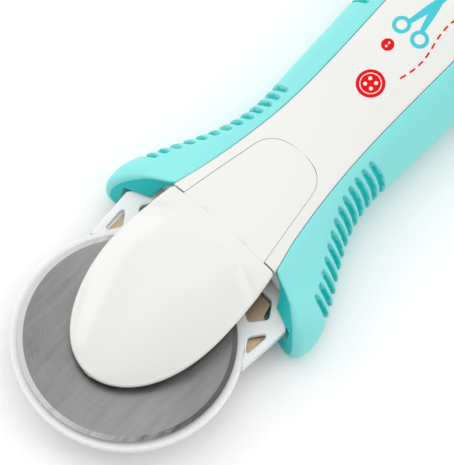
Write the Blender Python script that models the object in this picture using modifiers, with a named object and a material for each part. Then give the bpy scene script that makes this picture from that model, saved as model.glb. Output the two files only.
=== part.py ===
"""Rotary cutter for fabric: a round blade under a domed cover, a sliding guard and a slim handle.

Run with: blender --background --python part.py

Shapes are written in millimetres with the blade's axis at x = 0, y = 0 and the table at z = 0. The
handle runs to +X. The helpers that make meshes turn millimetres into metres. Every part hangs on one
empty, which moves the design so that the middle of its length is at the origin.
"""

import math

import bmesh
import bpy

MM = 0.001
GAP = 0.3

# Overall lengths
GUARD_RADIUS = 24.0
HANDLE_END_X = 154.0
HANDLE_START_X = 21.5
END_FLAT = 0.25
FRAME_X = -(HANDLE_END_X - END_FLAT - GUARD_RADIUS) / 2

# Blade and its axle, from the table up
BLADE_RADIUS = 22.5
BLADE_BEVEL = 1.1
BLADE_HALF_THICKNESS = 0.15
BLADE_HOLE_RADIUS = 4.0
BLADE_Z = 9.0
BOLT_RADIUS = 2.0
BOLT_HOLE_RADIUS = BOLT_RADIUS + GAP
BOLT_TIP_Z = 13.7
KNOB_RADIUS = 7.0
KNOB_Z = (0.5, 3.3)
KNOB_SCALLOPS = 10
SCALLOP_CENTRE = KNOB_RADIUS + 0.7
SCALLOP_RADIUS = 1.3
ARM_Z = (3.6, 6.2)
ARM_NOSE_RADIUS = 9.0
HUB_RADIUS = 5.8
HUB_Z = (6.5, 8.55)
HUB_BOSS_Z = 9.35
HEX_RADIUS = 3.6
INSERT_Z = (11.6, 13.9)
WASHER_RADIUS = 7.0
WASHER_Z = (9.65, 10.4)
WAVE_WASHER_RADIUS = 4.8
WAVE_WASHER_Z = (10.75, 10.95)

# Guard
GUARD_Z = (6.5, 8.0)
GUARD_ARM_BOTTOM_Z = 4.9
GUARD_TRAVEL = 7.0
TAIL_HALF_WIDTH = 5.8
TAIL_NECK_HALF_WIDTH = 3.0
TAIL_NECK_X = (43.0, 66.0)
TAIL_END_X = 86.0
TAIL_CHAMFER = 1.8
MOUTH_Z = (4.6, 8.45)
MOUTH_END_X = 41.5
LOWER_LIP_Z = 5.2
# The front of the grips in plan at the mouth's roof, as (y, x), and how far it moves along x at each height
FRONT_LINE = ((12.0, 28.3), (15.2, 26.6), (17.9, 25.6), (20.8, 24.4), (23.0, 23.5), (26.0, 22.4),
              (30.0, 21.9))
FRONT_LEAN = ((-2.0, -1.9), (8.45, 0.0), (13.0, 2.05), (26.0, 2.05))

# Guard spring, above the guard's tail
SPRING_RADIUS = 2.0
SPRING_WIRE_RADIUS = 0.35
SPRING_Z = 10.6
SPRING_X = (42.3, 61.7)
SPRING_TURNS = 8

# Lock button
LOCK_X = 76.0
LOCK_TRAVEL = 2.5
LOCK_POST_RADIUS = 1.5
LOCK_Z = (0.5, 1.7)
LOCK_BUTTON_HALF = (6.0, 4.0)

# Handle
PARTING_Z = 8.5
GRIP_THICKNESS = 2.5
SHELL_WALL = 2.2
PANEL_WALL_AT_COVER = 4.0
GRIP_END_X = 146.0
HOLLOW_END_X = 143.0
END_ROUNDING = 14.0
UPPER_START_X = 28.7
LOWER_START_X = 27.0
UPPER_SPANS = 5
LOWER_SPANS = 3
FRONT_STATIONS = (21.5, 24.5, 27.6, 31.0, 35.0, 38.5, MOUTH_END_X, 46.0, 53.0)
STATION_STEP = 8.7
END_ANGLES = (15, 40, 56, 70, 80)
GROOVE_COUNT = 13
GROOVE_FIRST_X = 32.2
GROOVE_LAST_X = 60.3
GROOVE_WIDTH = 1.2
GROOVE_DEPTH = 1.3
SHELL_SCREWS = ((56.0, 6.6), (56.0, -6.6), (100.0, 0.0), (136.0, 0.0))
ARM_SCREWS_X = (31.0, 47.0)
SCREW_RADIUS = 1.2
SCREW_HEAD_RADIUS = 2.2
SCREW_HEAD_HEIGHT = 1.3
SHELL_SCREW_LENGTH = 10.5
ARM_SCREW_LENGTH = 5.3
BOSS_RADIUS = 2.4

# Cover
COVER_FRONT_X = -12.0
COVER_DOME_X = 12.0
COVER_HALF_WIDTH = 15.6
COVER_SHOULDER_X = 28.4
COVER_TAIL_X = 51.7
COVER_BOTTOM_Z = 9.7
COVER_WALL = 2.0
COVER_BOSS_RADIUS = 6.0
COVER_BOSS_Z = 11.3
COVER_TAIL_THICKNESS = 2.1
COVER_EDGE_Z = ((-12, 12.2), (-5, 12.4), (3, 13.9), (9, 15.2), (15, 16.1), (28.4, 16.6))
COVER_CREST_Z = ((-12, 12.4), (-8, 14.0), (-2, 15.7), (6, 17.4), (14, 18.7), (24, 19.5), (30, 18.3))

# Plan and height of the handle along x, from its front wings to its rear end
HALF_WIDTH = ((20, 27.3), (24, 27.85), (27, 27.9), (31, 26.7), (36, 24.4), (41, 21.5), (46, 18.8),
              (52, 16.7), (58, 16.0), (66, 16.3), (82, 16.9), (102, 17.8), (122, 17.3), (140, 15.4),
              (154, 13.5))
WIDEST_Z = ((20, 4.2), (36, 4.6), (60, 7.5), (110, 8.2), (154, 9.0))
PANEL_HALF_WIDTH = ((20, 14.6), (28, 14.2), (36, 12.4), (46, 10.8), (57, 9.7), (68, 9.4), (88, 9.8),
                    (110, 10.6), (130, 10.2), (154, 8.6))
PANEL_Z = ((20, 16.4), (28, 16.9), (36, 17.0), (46, 16.6), (57, 16.4), (68, 17.0), (88, 19.0),
           (104, 20.2), (122, 19.8), (140, 17.8), (154, 15.4))
CROWN = ((20, 1.3), (30, 1.3), (55, 0.8), (90, 1.0), (154, 1.2))
BOTTOM_HALF_WIDTH = ((20, 21.0), (30, 20.5), (40, 15.5), (52, 11.2), (70, 10.2), (110, 11.0), (154, 8.5))
FLANK_INSET = ((20, 11.5), (30, 9.0), (36, 5.5), (44, 2.6), (50, GRIP_THICKNESS), (154, GRIP_THICKNESS))
FLANK_SLOPE = ((20, 0.55), (32, 0.5), (54, 0.35), (154, 0.35))
FLANK_FULLNESS = ((20, 0.52), (28, 0.48), (34, 0.36), (54, 0.55), (154, 0.55))
UNDER_PANEL_HALF_WIDTH = ((20, 13.0), (50, 10.4), (60, 9.7), (110, 9.4), (154, 7.2))
UNDERSIDE_ARCH = 2.0
ARCH_X = (50.0, 106.0)
REAR_LIFT = 2.2
REAR_LIFT_X = 128.0

MINT = (0.30, 0.80, 0.79, 1)
WHITE = (0.87, 0.88, 0.86, 1)
COOL_WHITE = (0.87, 0.89, 0.91, 1)
STEEL = (0.55, 0.54, 0.52, 1)
BRASS = (0.75, 0.58, 0.28, 1)


def clear_scene():
    for obj in list(bpy.data.objects):
        bpy.data.objects.remove(obj)


def new_collection(name, hidden=False):
    collection = bpy.data.collections.new(name)
    collection.hide_render = hidden
    bpy.context.scene.collection.children.link(collection)
    return collection


def new_material(name, colour, roughness, metallic=0.0):
    material = bpy.data.materials.new(name)
    material.use_nodes = True
    shader = material.node_tree.nodes["Principled BSDF"]
    shader.inputs["Base Color"].default_value = colour
    shader.inputs["Roughness"].default_value = roughness
    shader.inputs["Metallic"].default_value = metallic
    return material


clear_scene()
PARTS = new_collection("rotary_cutter")
CUTTERS = new_collection("cutters", hidden=True)
FRAME = bpy.data.objects.new("rotary_cutter_frame", None)
FRAME.location = (FRAME_X * MM, 0, 0)
PARTS.objects.link(FRAME)


# Interpolation


def smooth(points, x):
    """The height at x of a smooth curve through the points, held level past its two ends."""
    xs = [p[0] for p in points]
    ys = [p[1] for p in points]
    if x <= xs[0]:
        return ys[0]
    if x >= xs[-1]:
        return ys[-1]
    slopes = []
    for i in range(len(points)):
        low = max(i - 1, 0)
        high = min(i + 1, len(points) - 1)
        slopes.append((ys[high] - ys[low]) / (xs[high] - xs[low]))
    i = max(k for k in range(len(points) - 1) if xs[k] <= x)
    step = xs[i + 1] - xs[i]
    t = (x - xs[i]) / step
    rise = 3 * t * t - 2 * t**3
    bend = slopes[i] * (t**3 - 2 * t * t + t) + slopes[i + 1] * (t**3 - t * t)
    return ys[i] + (ys[i + 1] - ys[i]) * rise + step * bend


def ramp(low, high, x):
    """0 up to low and 1 from high on, with a smooth step between."""
    t = min(max((x - low) / (high - low), 0.0), 1.0)
    return t * t * (3 - 2 * t)


def bezier(a, b, c, d, t):
    s = 1 - t
    weights = (s**3, 3 * s * s * t, 3 * s * t * t, t**3)
    return tuple(sum(w * p[k] for w, p in zip(weights, (a, b, c, d))) for k in (0, 1))


def arc(cx, cy, radius, start, end, count):
    """Points on an arc, in degrees, both ends included."""
    angles = [math.radians(start + (end - start) * i / (count - 1)) for i in range(count)]
    return [(cx + radius * math.cos(a), cy + radius * math.sin(a)) for a in angles]


def circle(cx, cy, radius, count=24):
    return arc(cx, cy, radius, 0, 360 * (count - 1) / count, count)


def slot(x0, x1, half_width, count=9):
    """A slot along x with round ends, whose end circles are centred at x0 and x1."""
    return arc(x1, 0, half_width, -90, 90, count) + arc(x0, 0, half_width, 90, 270, count)


# Objects


def add_object(name, data, material=None, origin=(0, 0, 0)):
    """Links an object whose data is already relative to origin."""
    obj = bpy.data.objects.new(name, data)
    obj.parent = FRAME
    obj.location = [c * MM for c in origin]
    if material:
        PARTS.objects.link(obj)
        if not data.materials:
            data.materials.append(material)
    else:
        CUTTERS.objects.link(obj)
        obj.hide_render = True
        obj.display_type = "WIRE"
    return obj


def finish_mesh(name, bm, material=None, origin=(0, 0, 0), smooth_angle=35):
    bmesh.ops.recalc_face_normals(bm, faces=bm.faces)
    mesh = bpy.data.meshes.new(name)
    bm.to_mesh(mesh)
    bm.free()
    if material:
        mesh.shade_smooth()
        mesh.set_sharp_from_angle(angle=math.radians(smooth_angle))
    return add_object(name, mesh, material, origin)


def loft(name, rings, material=None, origin=(0, 0, 0)):
    """A closed body through rings of (x, y, z) that all have the same number of points."""
    bm = bmesh.new()
    loops = [[bm.verts.new([(c - o) * MM for c, o in zip(p, origin)]) for p in ring] for ring in rings]
    for low, high in zip(loops, loops[1:]):
        for i in range(len(low)):
            j = (i + 1) % len(low)
            bm.faces.new((low[i], low[j], high[j], high[i]))
    bm.faces.new(loops[0])
    bm.faces.new(loops[-1])
    bmesh.ops.remove_doubles(bm, verts=bm.verts, dist=1e-6)
    return finish_mesh(name, bm, material, origin)


def plate(name, outlines, z_range, material=None, origin=(0, 0, 0)):
    """A flat plate from closed outlines in plan: the first is its edge and the rest are its holes."""
    curve = bpy.data.curves.new(name, "CURVE")
    curve.dimensions = "2D"
    curve.fill_mode = "BOTH"
    curve.extrude = (z_range[1] - z_range[0]) / 2 * MM
    for outline in outlines:
        spline = curve.splines.new("POLY")
        spline.points.add(len(outline) - 1)
        spline.use_cyclic_u = True
        for point, (x, y) in zip(spline.points, outline):
            point.co = ((x - origin[0]) * MM, (y - origin[1]) * MM, 0, 1)
    guide = bpy.data.objects.new(name + "_outline", curve)
    bpy.context.scene.collection.objects.link(guide)
    mesh = evaluated_mesh(guide)
    bpy.data.objects.remove(guide)
    bm = bmesh.new()
    bm.from_mesh(mesh)
    bpy.data.meshes.remove(mesh)
    bmesh.ops.remove_doubles(bm, verts=bm.verts, dist=1e-6)
    bmesh.ops.translate(bm, verts=bm.verts, vec=(0, 0, ((z_range[0] + z_range[1]) / 2 - origin[2]) * MM))
    return finish_mesh(name, bm, material, origin)


def evaluated_mesh(obj):
    bpy.context.view_layer.update()
    graph = bpy.context.evaluated_depsgraph_get()
    return bpy.data.meshes.new_from_object(obj.evaluated_get(graph))


def turned(name, profile, material=None, origin=(0, 0, 0), steps=24, closed=False):
    """A body turned about the upright axis through origin, from the (radius, z) profile of one side."""
    mesh = bpy.data.meshes.new(name)
    edges = [(i, i + 1) for i in range(len(profile) - 1)]
    if closed:
        edges.append((len(profile) - 1, 0))
    mesh.from_pydata([(r * MM, 0, (z - origin[2]) * MM) for r, z in profile], edges, [])
    obj = add_object(name, mesh, material, origin)
    screw = obj.modifiers.new("turn", "SCREW")
    screw.axis = "Z"
    screw.steps = steps
    screw.render_steps = steps
    screw.use_merge_vertices = True
    screw.merge_threshold = 1e-6
    screw.use_smooth_shade = True
    return obj


def box(name, x_range, y_range, z_range, material=None, origin=(0, 0, 0)):
    bm = bmesh.new()
    bmesh.ops.create_cube(bm, size=1)
    for vert in bm.verts:
        for k, (low, high) in enumerate((x_range, y_range, z_range)):
            vert.co[k] = ((low + high) / 2 + vert.co[k] * (high - low) - origin[k]) * MM
    return finish_mesh(name, bm, material, origin)


def cylinder(name, centre, radius, z_range, sides=24, material=None, origin=(0, 0, 0)):
    bm = bmesh.new()
    height = (z_range[1] - z_range[0]) * MM
    bmesh.ops.create_cone(
        bm, cap_ends=True, segments=sides, radius1=radius * MM, radius2=radius * MM, depth=height
    )
    middle_height = (z_range[0] + z_range[1]) / 2
    middle = (centre[0] - origin[0], centre[1] - origin[1], middle_height - origin[2])
    bmesh.ops.translate(bm, verts=bm.verts, vec=[c * MM for c in middle])
    return finish_mesh(name, bm, material, origin)


def boolean(target, cutter, operation="DIFFERENCE"):
    """Cuts or joins. The weld and the triangles first keep an earlier cut's many-sided faces exact."""
    weld = target.modifiers.new("weld", "WELD")
    weld.merge_threshold = 0.000005
    target.modifiers.new("triangulate", "TRIANGULATE")
    modifier = target.modifiers.new(cutter.name, "BOOLEAN")
    modifier.object = cutter
    modifier.operation = operation
    modifier.solver = "EXACT"


# Cross-sections of the handle


def end_scale(x, inset):
    """How far the section has shrunk towards the rounded rear end, for a body set in by inset."""
    start = HANDLE_END_X - END_ROUNDING
    reach = END_ROUNDING - inset
    if x <= start:
        return 1.0
    return math.sqrt(max(1 - ((x - start) / reach) ** 2, 0.0))


def bottom_z(x):
    arch_u = (x - ARCH_X[0]) / (ARCH_X[1] - ARCH_X[0])
    arch = UNDERSIDE_ARCH * math.sin(math.pi * arch_u) ** 2 if 0 < arch_u < 1 else 0.0
    return arch + REAR_LIFT * ramp(REAR_LIFT_X, HANDLE_END_X + 12, x)


def panel_z(x, y, inset=0.0):
    """Height of the crowned top panel."""
    half = smooth(PANEL_HALF_WIDTH, x)
    return smooth(PANEL_Z, x) + smooth(CROWN, x) * (1 - (y / half) ** 2) - inset


def flank_curve(x, side_inset, face_inset, start_y, end_y):
    """One side of the section as a function of u: 0 at the panel, 1 at the widest line, 2 underneath."""
    half = smooth(HALF_WIDTH, x) - side_inset
    wide_z = smooth(WIDEST_Z, x)
    top = (start_y, panel_z(x, start_y, face_inset))
    wide = (half, wide_z)
    low = (max(smooth(BOTTOM_HALF_WIDTH, x) - side_inset, end_y + 0.4), bottom_z(x) + face_inset)
    reach = smooth(FLANK_FULLNESS, x)
    run = 0.5 * (half - start_y)
    upper = (top, (top[0] + run, top[1] - smooth(FLANK_SLOPE, x) * run),
             (half, wide_z + reach * (top[1] - wide_z)), wide)
    tuck = 0.55
    tucked = ((half, wide_z - tuck * (wide_z - low[1])), (low[0] + tuck * (half - low[0]), low[1]))
    lower = (wide, *tucked, low)
    return lambda u: bezier(*upper, u) if u < 1 else bezier(*lower, u - 1)


def flank(x, side_inset, face_inset, start_y, end_y):
    """Points of one side from the panel's edge over the widest line to the underside's panel."""
    curve = flank_curve(x, side_inset, face_inset, start_y, end_y)
    points = [curve(i / UPPER_SPANS) for i in range(UPPER_SPANS)]
    points += [curve(1 + i / LOWER_SPANS) for i in range(LOWER_SPANS + 1)]
    return points + [(end_y, points[-1][1])]


def crossing(curve, z):
    """Where the side curve, which falls all the way, passes the height z."""
    low, high = 0.0, 2.0
    for _ in range(40):
        middle = (low + high) / 2
        if curve(middle)[1] > z:
            low = middle
        else:
            high = middle
    return low


def middle_z(x):
    return (panel_z(x, 0) + bottom_z(x)) / 2


def flattening(x, inset):
    return 0.25 + 0.75 * end_scale(x, inset)


def shrink(points, x, inset):
    """Points of a section at x, scaled towards the middle of its height near the rear end."""
    scale = end_scale(x, inset)
    return [(x, y * scale, middle_z(x) + (z - middle_z(x)) * flattening(x, inset)) for y, z in points]


def panel_edge(x):
    return smooth(PANEL_HALF_WIDTH, x)


def under_edge(x):
    return smooth(UNDER_PANEL_HALF_WIDTH, x)


def half_path(x, upper, side_inset, panel_inset, face_inset, band_inset, cut_z):
    """From the centre line of the panel over its edge and along the side to the height cut_z."""
    top_edge = panel_edge(x) - band_inset
    low_edge = under_edge(x) - band_inset
    curve = flank_curve(x, side_inset, face_inset, top_edge, low_edge)
    cut_u = crossing(curve, cut_z)
    if upper:
        path = [(top_edge * k / 3, panel_z(x, top_edge * k / 3, panel_inset)) for k in range(4)]
        return path + [curve(cut_u * i / UPPER_SPANS) for i in range(UPPER_SPANS + 1)]
    floor = bottom_z(x) + min(panel_inset, SHELL_WALL)
    path = [(0, floor), (low_edge, floor), (low_edge, curve(2)[1])]
    return path + [curve(2 + (cut_u - 2) * i / LOWER_SPANS) for i in range(LOWER_SPANS + 1)]


def shell_ring(x, upper, cut_z):
    """The closed outline of one hard shell, hollow up to HOLLOW_END_X and solid behind it."""
    cut = middle_z(x) + (cut_z - middle_z(x)) / flattening(x, 0)
    inset = smooth(FLANK_INSET, x)
    if x > GRIP_END_X + GAP * 0.75:
        outer = half_path(x, upper, 0, 0, 0, GAP / 2, cut)
    else:
        outer = half_path(x, upper, inset, 0, GRIP_THICKNESS, GAP / 2, cut)
    wall = SHELL_WALL + (PANEL_WALL_AT_COVER - SHELL_WALL) * (1 - ramp(56, 62, x))
    side_depth = inset + SHELL_WALL
    inner = half_path(x, upper, side_depth, wall, GRIP_THICKNESS + SHELL_WALL, SHELL_WALL + GAP, cut)
    outline = [(-y, z) for y, z in outer[:0:-1]] + outer
    hollow = [(y, z) for y, z in inner[::-1]] + [(-y, z) for y, z in inner[1:]]
    if x > HOLLOW_END_X:
        end = outline[-1][0]
        last = len(hollow) + 1
        hollow = [(end * (1 - 2 * (i + 1) / last), cut) for i in range(len(hollow))]
    return shrink(outline + hollow, x, 0)


def grip_ring(x, side):
    """The closed outline of one grip: its outer face, then its inner face GAP outside the hard shell."""
    inset = smooth(FLANK_INSET, x) - GAP
    top_edge = panel_edge(x) + GAP / 2
    low_edge = under_edge(x) + GAP / 2
    outer = flank(x, 0, 0, top_edge, low_edge)
    inner = flank(x, inset, GRIP_THICKNESS - GAP, top_edge, low_edge)
    ring = outer + inner[::-1]
    return shrink([(y * side, z) for y, z in ring], x, 0.0)


def stations(start, end):
    """The sections' places along x, shared by every body so that their surfaces stay parallel."""
    knee = HANDLE_END_X - END_ROUNDING
    xs = list(FRONT_STATIONS)
    while xs[-1] < knee - STATION_STEP / 2:
        xs.append(xs[-1] + STATION_STEP)
    xs += [knee + END_ROUNDING * math.sin(math.radians(a)) for a in END_ANGLES]
    return [start] + [x for x in xs if start + 0.8 < x < end - 0.8] + [end]


# Handle


def shell_blank(name, start_x, upper, material):
    """One hard shell before its bosses and holes. The front of the lower one is cut down to a lip."""
    xs = stations(start_x, GRIP_END_X + GAP / 2) + stations(GRIP_END_X + GAP, HANDLE_END_X - END_FLAT)
    xs += [HOLLOW_END_X, HOLLOW_END_X + 0.3]
    if not upper:
        xs += [MOUTH_END_X + 0.3]
    rings = []
    for x in sorted(xs):
        cut = PARTING_Z + GAP / 2 if upper else PARTING_Z - GAP / 2
        if not upper and x <= MOUTH_END_X:
            cut = LOWER_LIP_Z
        rings.append(shell_ring(x, upper, cut))
    return loft(name, rings, material)


def mouth_cutter():
    """The space in the front of the handle that the guard's arms and cross bar slide in."""
    side = ((10, 23.5), (30, 23.4), (32, 22.6), (35, 20.4), (38, 19.2), (MOUTH_END_X, 18.9))
    outline = list(side) + [(x, -y) for x, y in reversed(side)]
    return plate("mouth_cutter", [outline], MOUTH_Z)


def front_cutter():
    """Cuts the wings' front, which is raked in plan and leans back above and below the mouth's roof."""
    outline = [(10, -30)] + [(x, -y) for y, x in reversed(FRONT_LINE)] + [(x, y) for y, x in FRONT_LINE]
    outline.append((10, 30))
    rings = []
    for z, shift in FRONT_LEAN:
        rings.append([(x + shift, y, z) for x, y in outline])
    return loft("front_cutter", rings)


def screw_holes(prefix, centres, hole_z, head_z, radius=SCREW_RADIUS + GAP):
    """Cutters for a row of screws: a shank hole and, where head_z is given, a counterbore."""
    cutters = []
    for i, (x, y) in enumerate(centres):
        cutters.append(cylinder(f"{prefix}_hole_{i}", (x, y), radius, hole_z, 12))
        if head_z:
            cutters.append(cylinder(f"{prefix}_bore_{i}", (x, y), SCREW_HEAD_RADIUS + GAP, head_z, 16))
    return cutters


def make_upper_shell(white):
    shell = shell_blank("upper_shell", UPPER_START_X, True, white)
    for i, (x, y) in enumerate(SHELL_SCREWS):
        boss_z = (PARTING_Z + GAP / 2, panel_z(x, y, 1.8))
        boss = cylinder(f"upper_boss_{i}", (x, y), BOSS_RADIUS, boss_z, 16)
        boolean(shell, boss, "UNION")
    rib = box("spring_rib", (62.0, 64.0), (-7, 7), (PARTING_Z + GAP / 2, panel_z(63, 0, 1.2)))
    boolean(shell, rib, "UNION")
    boolean(shell, cover_seat())
    for side in (1, -1):
        boolean(shell, box("hook_slot", (47.7, 50.6), sorted((2.6 * side, 5.2 * side)), (8, 22)))
    for cutter in screw_holes("upper", SHELL_SCREWS, (5, 12.6), None):
        boolean(shell, cutter)


def make_lower_shell(white):
    shell = shell_blank("lower_shell", LOWER_START_X, False, white)
    for i, (x, y) in enumerate(SHELL_SCREWS):
        boss_z = (bottom_z(x) + 1.2, PARTING_Z - GAP / 2)
        boss = cylinder(f"lower_boss_{i}", (x, y), SCREW_HEAD_RADIUS + 1.2, boss_z, 16)
        boolean(shell, boss, "UNION")
    for i, x in enumerate(ARM_SCREWS_X):
        rest = box(f"arm_rest_{i}", (x - 3.2, x + 3.2), (-5.5, 5.5), (1.2, ARM_Z[0] - GAP))
        boolean(shell, rest, "UNION")
    for cutter in screw_holes("lower", SHELL_SCREWS, (-1, 10), (-1, 2.6)):
        boolean(shell, cutter)
    for cutter in screw_holes("arm", [(x, 0) for x in ARM_SCREWS_X], (-1, 5), (-1, 1.9)):
        boolean(shell, cutter)
    reach = LOCK_POST_RADIUS + 0.5 + GAP
    slot_x = (LOCK_X - reach, LOCK_X + reach)
    boolean(shell, box("lock_slot", slot_x, (-reach, reach + LOCK_TRAVEL), (-1, 6)))
    reach = LOCK_BUTTON_HALF[1] + GAP
    recess_x = (LOCK_X - LOCK_BUTTON_HALF[0] - 2 * GAP, LOCK_X + LOCK_BUTTON_HALF[0] + 2 * GAP)
    boolean(shell, box("lock_recess", recess_x, (-reach, reach + LOCK_TRAVEL), (-1, LOCK_Z[1] + GAP)))


def make_grip(name, side, mint, front, mouth):
    rings = [grip_ring(x, side) for x in stations(HANDLE_START_X, GRIP_END_X - GAP)]
    grip = loft(name, rings, mint)
    boolean(grip, front)
    boolean(grip, mouth)
    boolean(grip, groove_cutter(name, side))


def groove_centres():
    step = (GROOVE_LAST_X - GROOVE_FIRST_X) / (GROOVE_COUNT - 1)
    return [GROOVE_FIRST_X + step * i for i in range(GROOVE_COUNT)]


def groove_cutter(grip_name, side):
    """Thin slots over the grip's shoulder, joined in one cutter."""
    bm = bmesh.new()
    for centre in groove_centres():
        loops = []
        for x in (centre - GROOVE_WIDTH / 2, centre + GROOVE_WIDTH / 2):
            start = panel_edge(x) + GAP / 2
            outside = flank(x, -2.0, -2.0, start, under_edge(x))[2:7]
            inside = flank(x, GROOVE_DEPTH, GROOVE_DEPTH, start, under_edge(x))[2:7]
            ring = outside + inside[::-1]
            loops.append([bm.verts.new((x * MM, y * side * MM, z * MM)) for y, z in ring])
        low, high = loops
        for i in range(len(low)):
            j = (i + 1) % len(low)
            bm.faces.new((low[i], low[j], high[j], high[i]))
        bm.faces.new(low)
        bm.faces.new(high)
    return finish_mesh(grip_name + "_grooves", bm)


# Cover


def cover_half_width(x, inset=0.0):
    """Half the cover's width: half an ellipse, a slow taper, a shoulder and a narrow round tail."""
    if x < COVER_DOME_X:
        reach = COVER_DOME_X - COVER_FRONT_X - inset
        return (COVER_HALF_WIDTH - inset) * math.sqrt(max(1 - ((COVER_DOME_X - x) / reach) ** 2, 0.0))
    if x < COVER_SHOULDER_X:
        return COVER_HALF_WIDTH - inset - 1.1 * ((x - COVER_DOME_X) / 14) ** 2
    width = 11.2 - 3.2 * (x - COVER_SHOULDER_X) / 19.0 - inset
    round_start = COVER_TAIL_X - 5.0
    if x > round_start:
        width *= math.sqrt(max(1 - ((x - round_start) / (5.0 - inset)) ** 2, 0.0)) ** 0.7
    return width


def cover_ring(x, inset, bottom_z_here):
    """A section of the cover at x, set in by inset, or of its tail where it lies in the upper shell."""
    width = cover_half_width(x, inset)
    if x < COVER_SHOULDER_X:
        edge = smooth(COVER_EDGE_Z, x) - inset
        crest = max(smooth(COVER_CREST_Z, x) - inset, edge + 0.1)
    else:
        edge = panel_z(x, width) - inset
        crest = panel_z(x, 0) - inset
    half = [(width, bottom_z_here), (width, edge - 0.9)]
    for k in (0.97, 0.85, 0.65, 0.35):
        half.append((width * k, edge - 0.25 + (crest - edge + 0.25) * (1 - k * k)))
    return [(x, y, z) for y, z in half] + [(x, 0, crest)] + [(x, -y, z) for y, z in half[::-1]]


def cover_seat():
    """The space in the upper shell that the cover's tail lies in."""
    rings = []
    for x in (UPPER_START_X - 1, 34, 40, 46.7, 49, 51, COVER_TAIL_X - 0.1):
        width = cover_half_width(max(x, COVER_SHOULDER_X + 0.01)) + GAP
        floor = panel_z(x, 0) - COVER_TAIL_THICKNESS - GAP
        rings.append([(x + (GAP if x > 50 else 0), y, z) for y, z in
                      ((width, floor), (width, 24), (-width, 24), (-width, floor))])
    return loft("cover_seat", rings)


def make_head_cover(white):
    dome_xs = [COVER_DOME_X - 24 * math.cos(math.radians(a)) for a in (8, 18, 30, 43, 57, 72, 90)]
    dome_xs += [16, 20, 23, 25, 26.5, COVER_SHOULDER_X - 0.3]
    rings = [cover_ring(x, 0, COVER_BOTTOM_Z) for x in dome_xs]
    for x in (COVER_SHOULDER_X, 34, 40, 46.7, 49, 50.7, 51.5):
        rings.append(cover_ring(x, 0, panel_z(x, 0) - COVER_TAIL_THICKNESS))
    cover = loft("head_cover", rings, white)
    inner = [cover_ring(x, COVER_WALL, COVER_BOTTOM_Z - 2) for x in
             (-9.2, -7, -3, 2, 7, COVER_DOME_X, 17, 22, 26.2)]
    hollow = loft("cover_hollow", inner)
    boolean(hollow, cylinder("cover_boss", (0, 0), COVER_BOSS_RADIUS, (COVER_BOSS_Z, 30), 20))
    boolean(cover, hollow)
    pocket_top = INSERT_Z[1] + GAP
    boolean(cover, cylinder("insert_pocket", (0, 0), HEX_RADIUS + GAP, (10, pocket_top), 6))
    hook_low = panel_z(50, 0) - PANEL_WALL_AT_COVER - GAP - 1.6
    for side in (1, -1):
        leg_y = sorted((2.9 * side, 4.9 * side))
        toe_y = sorted((3.0 * side, 4.8 * side))
        boolean(cover, box("hook_leg", (48.0, 49.8), leg_y, (hook_low, panel_z(50, 0) - 1.0)), "UNION")
        boolean(cover, box("hook_toe", (48.9, 52.8), toe_y, (hook_low + 0.1, hook_low + 1.4)), "UNION")


# Inside


def make_blade_arm(steel):
    """The flat bar that carries the axle, with a round nose and a wide plate under the guard."""
    nose = arc(0, 0, ARM_NOSE_RADIUS, 60, 300, 15)
    left = [(13.0, 12.0), (14.2, 19.2), (15.0, 19.8), (20.6, 19.8), (23.2, 16.6), (26.2, 15.8), (26.2, 8.0)]
    left += [(30, 5.7), (50.5, 5.7), (52, 4.2)]
    outline = nose + [(x, -y) for x, y in left] + left[::-1]
    holes = [circle(0, 0, BOLT_HOLE_RADIUS, 16)]
    holes += [circle(x, 0, SCREW_RADIUS + GAP, 12) for x in ARM_SCREWS_X]
    plate("blade_arm", [outline] + holes, ARM_Z, steel)


def make_hub_bush(white):
    boss = BLADE_HOLE_RADIUS - GAP
    profile = [(BOLT_HOLE_RADIUS, HUB_BOSS_Z), (boss, HUB_BOSS_Z), (boss, HUB_Z[1])]
    profile += [(HUB_RADIUS, HUB_Z[1]), (HUB_RADIUS, HUB_Z[0]), (BOLT_HOLE_RADIUS, HUB_Z[0])]
    turned("hub_bush", profile, white, (0, 0, HUB_Z[0]), 20, closed=True)


def make_blade(steel):
    top = BLADE_Z + BLADE_HALF_THICKNESS
    low = BLADE_Z - BLADE_HALF_THICKNESS
    flat = BLADE_RADIUS - BLADE_BEVEL
    profile = [(BLADE_HOLE_RADIUS, top), (flat, top), (BLADE_RADIUS, BLADE_Z + 0.02),
               (BLADE_RADIUS, BLADE_Z - 0.02), (flat, low), (BLADE_HOLE_RADIUS, low)]
    turned("blade", profile, steel, (0, 0, BLADE_Z), 48, closed=True)


def make_washers(steel):
    low, high = WASHER_Z
    bore = BOLT_HOLE_RADIUS
    washer = [(bore, high), (WASHER_RADIUS, high), (WASHER_RADIUS, low), (bore, low)]
    turned("blade_washer", washer, steel, (0, 0, low), 20, closed=True)
    low, high = WAVE_WASHER_Z
    bore = BOLT_HOLE_RADIUS + 0.1
    rings = []
    for i in range(18):
        angle = 2 * math.pi * i / 18
        wave = 0.05 * math.sin(3 * angle)
        corners = ((bore, low), (WAVE_WASHER_RADIUS, low), (WAVE_WASHER_RADIUS, high), (bore, high))
        rings.append([(r * math.cos(angle), r * math.sin(angle), z + wave) for r, z in corners])
    ring_body("spring_washer", rings, steel)


def ring_body(name, rings, material, origin=(0, 0, 0)):
    """A closed loop of sections, each joined to the next and the last to the first."""
    bm = bmesh.new()
    loops = [[bm.verts.new([(c - o) * MM for c, o in zip(p, origin)]) for p in ring] for ring in rings]
    for k, low in enumerate(loops):
        high = loops[(k + 1) % len(loops)]
        for i in range(len(low)):
            j = (i + 1) % len(low)
            bm.faces.new((low[i], low[j], high[j], high[i]))
    return finish_mesh(name, bm, material, origin)


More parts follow.
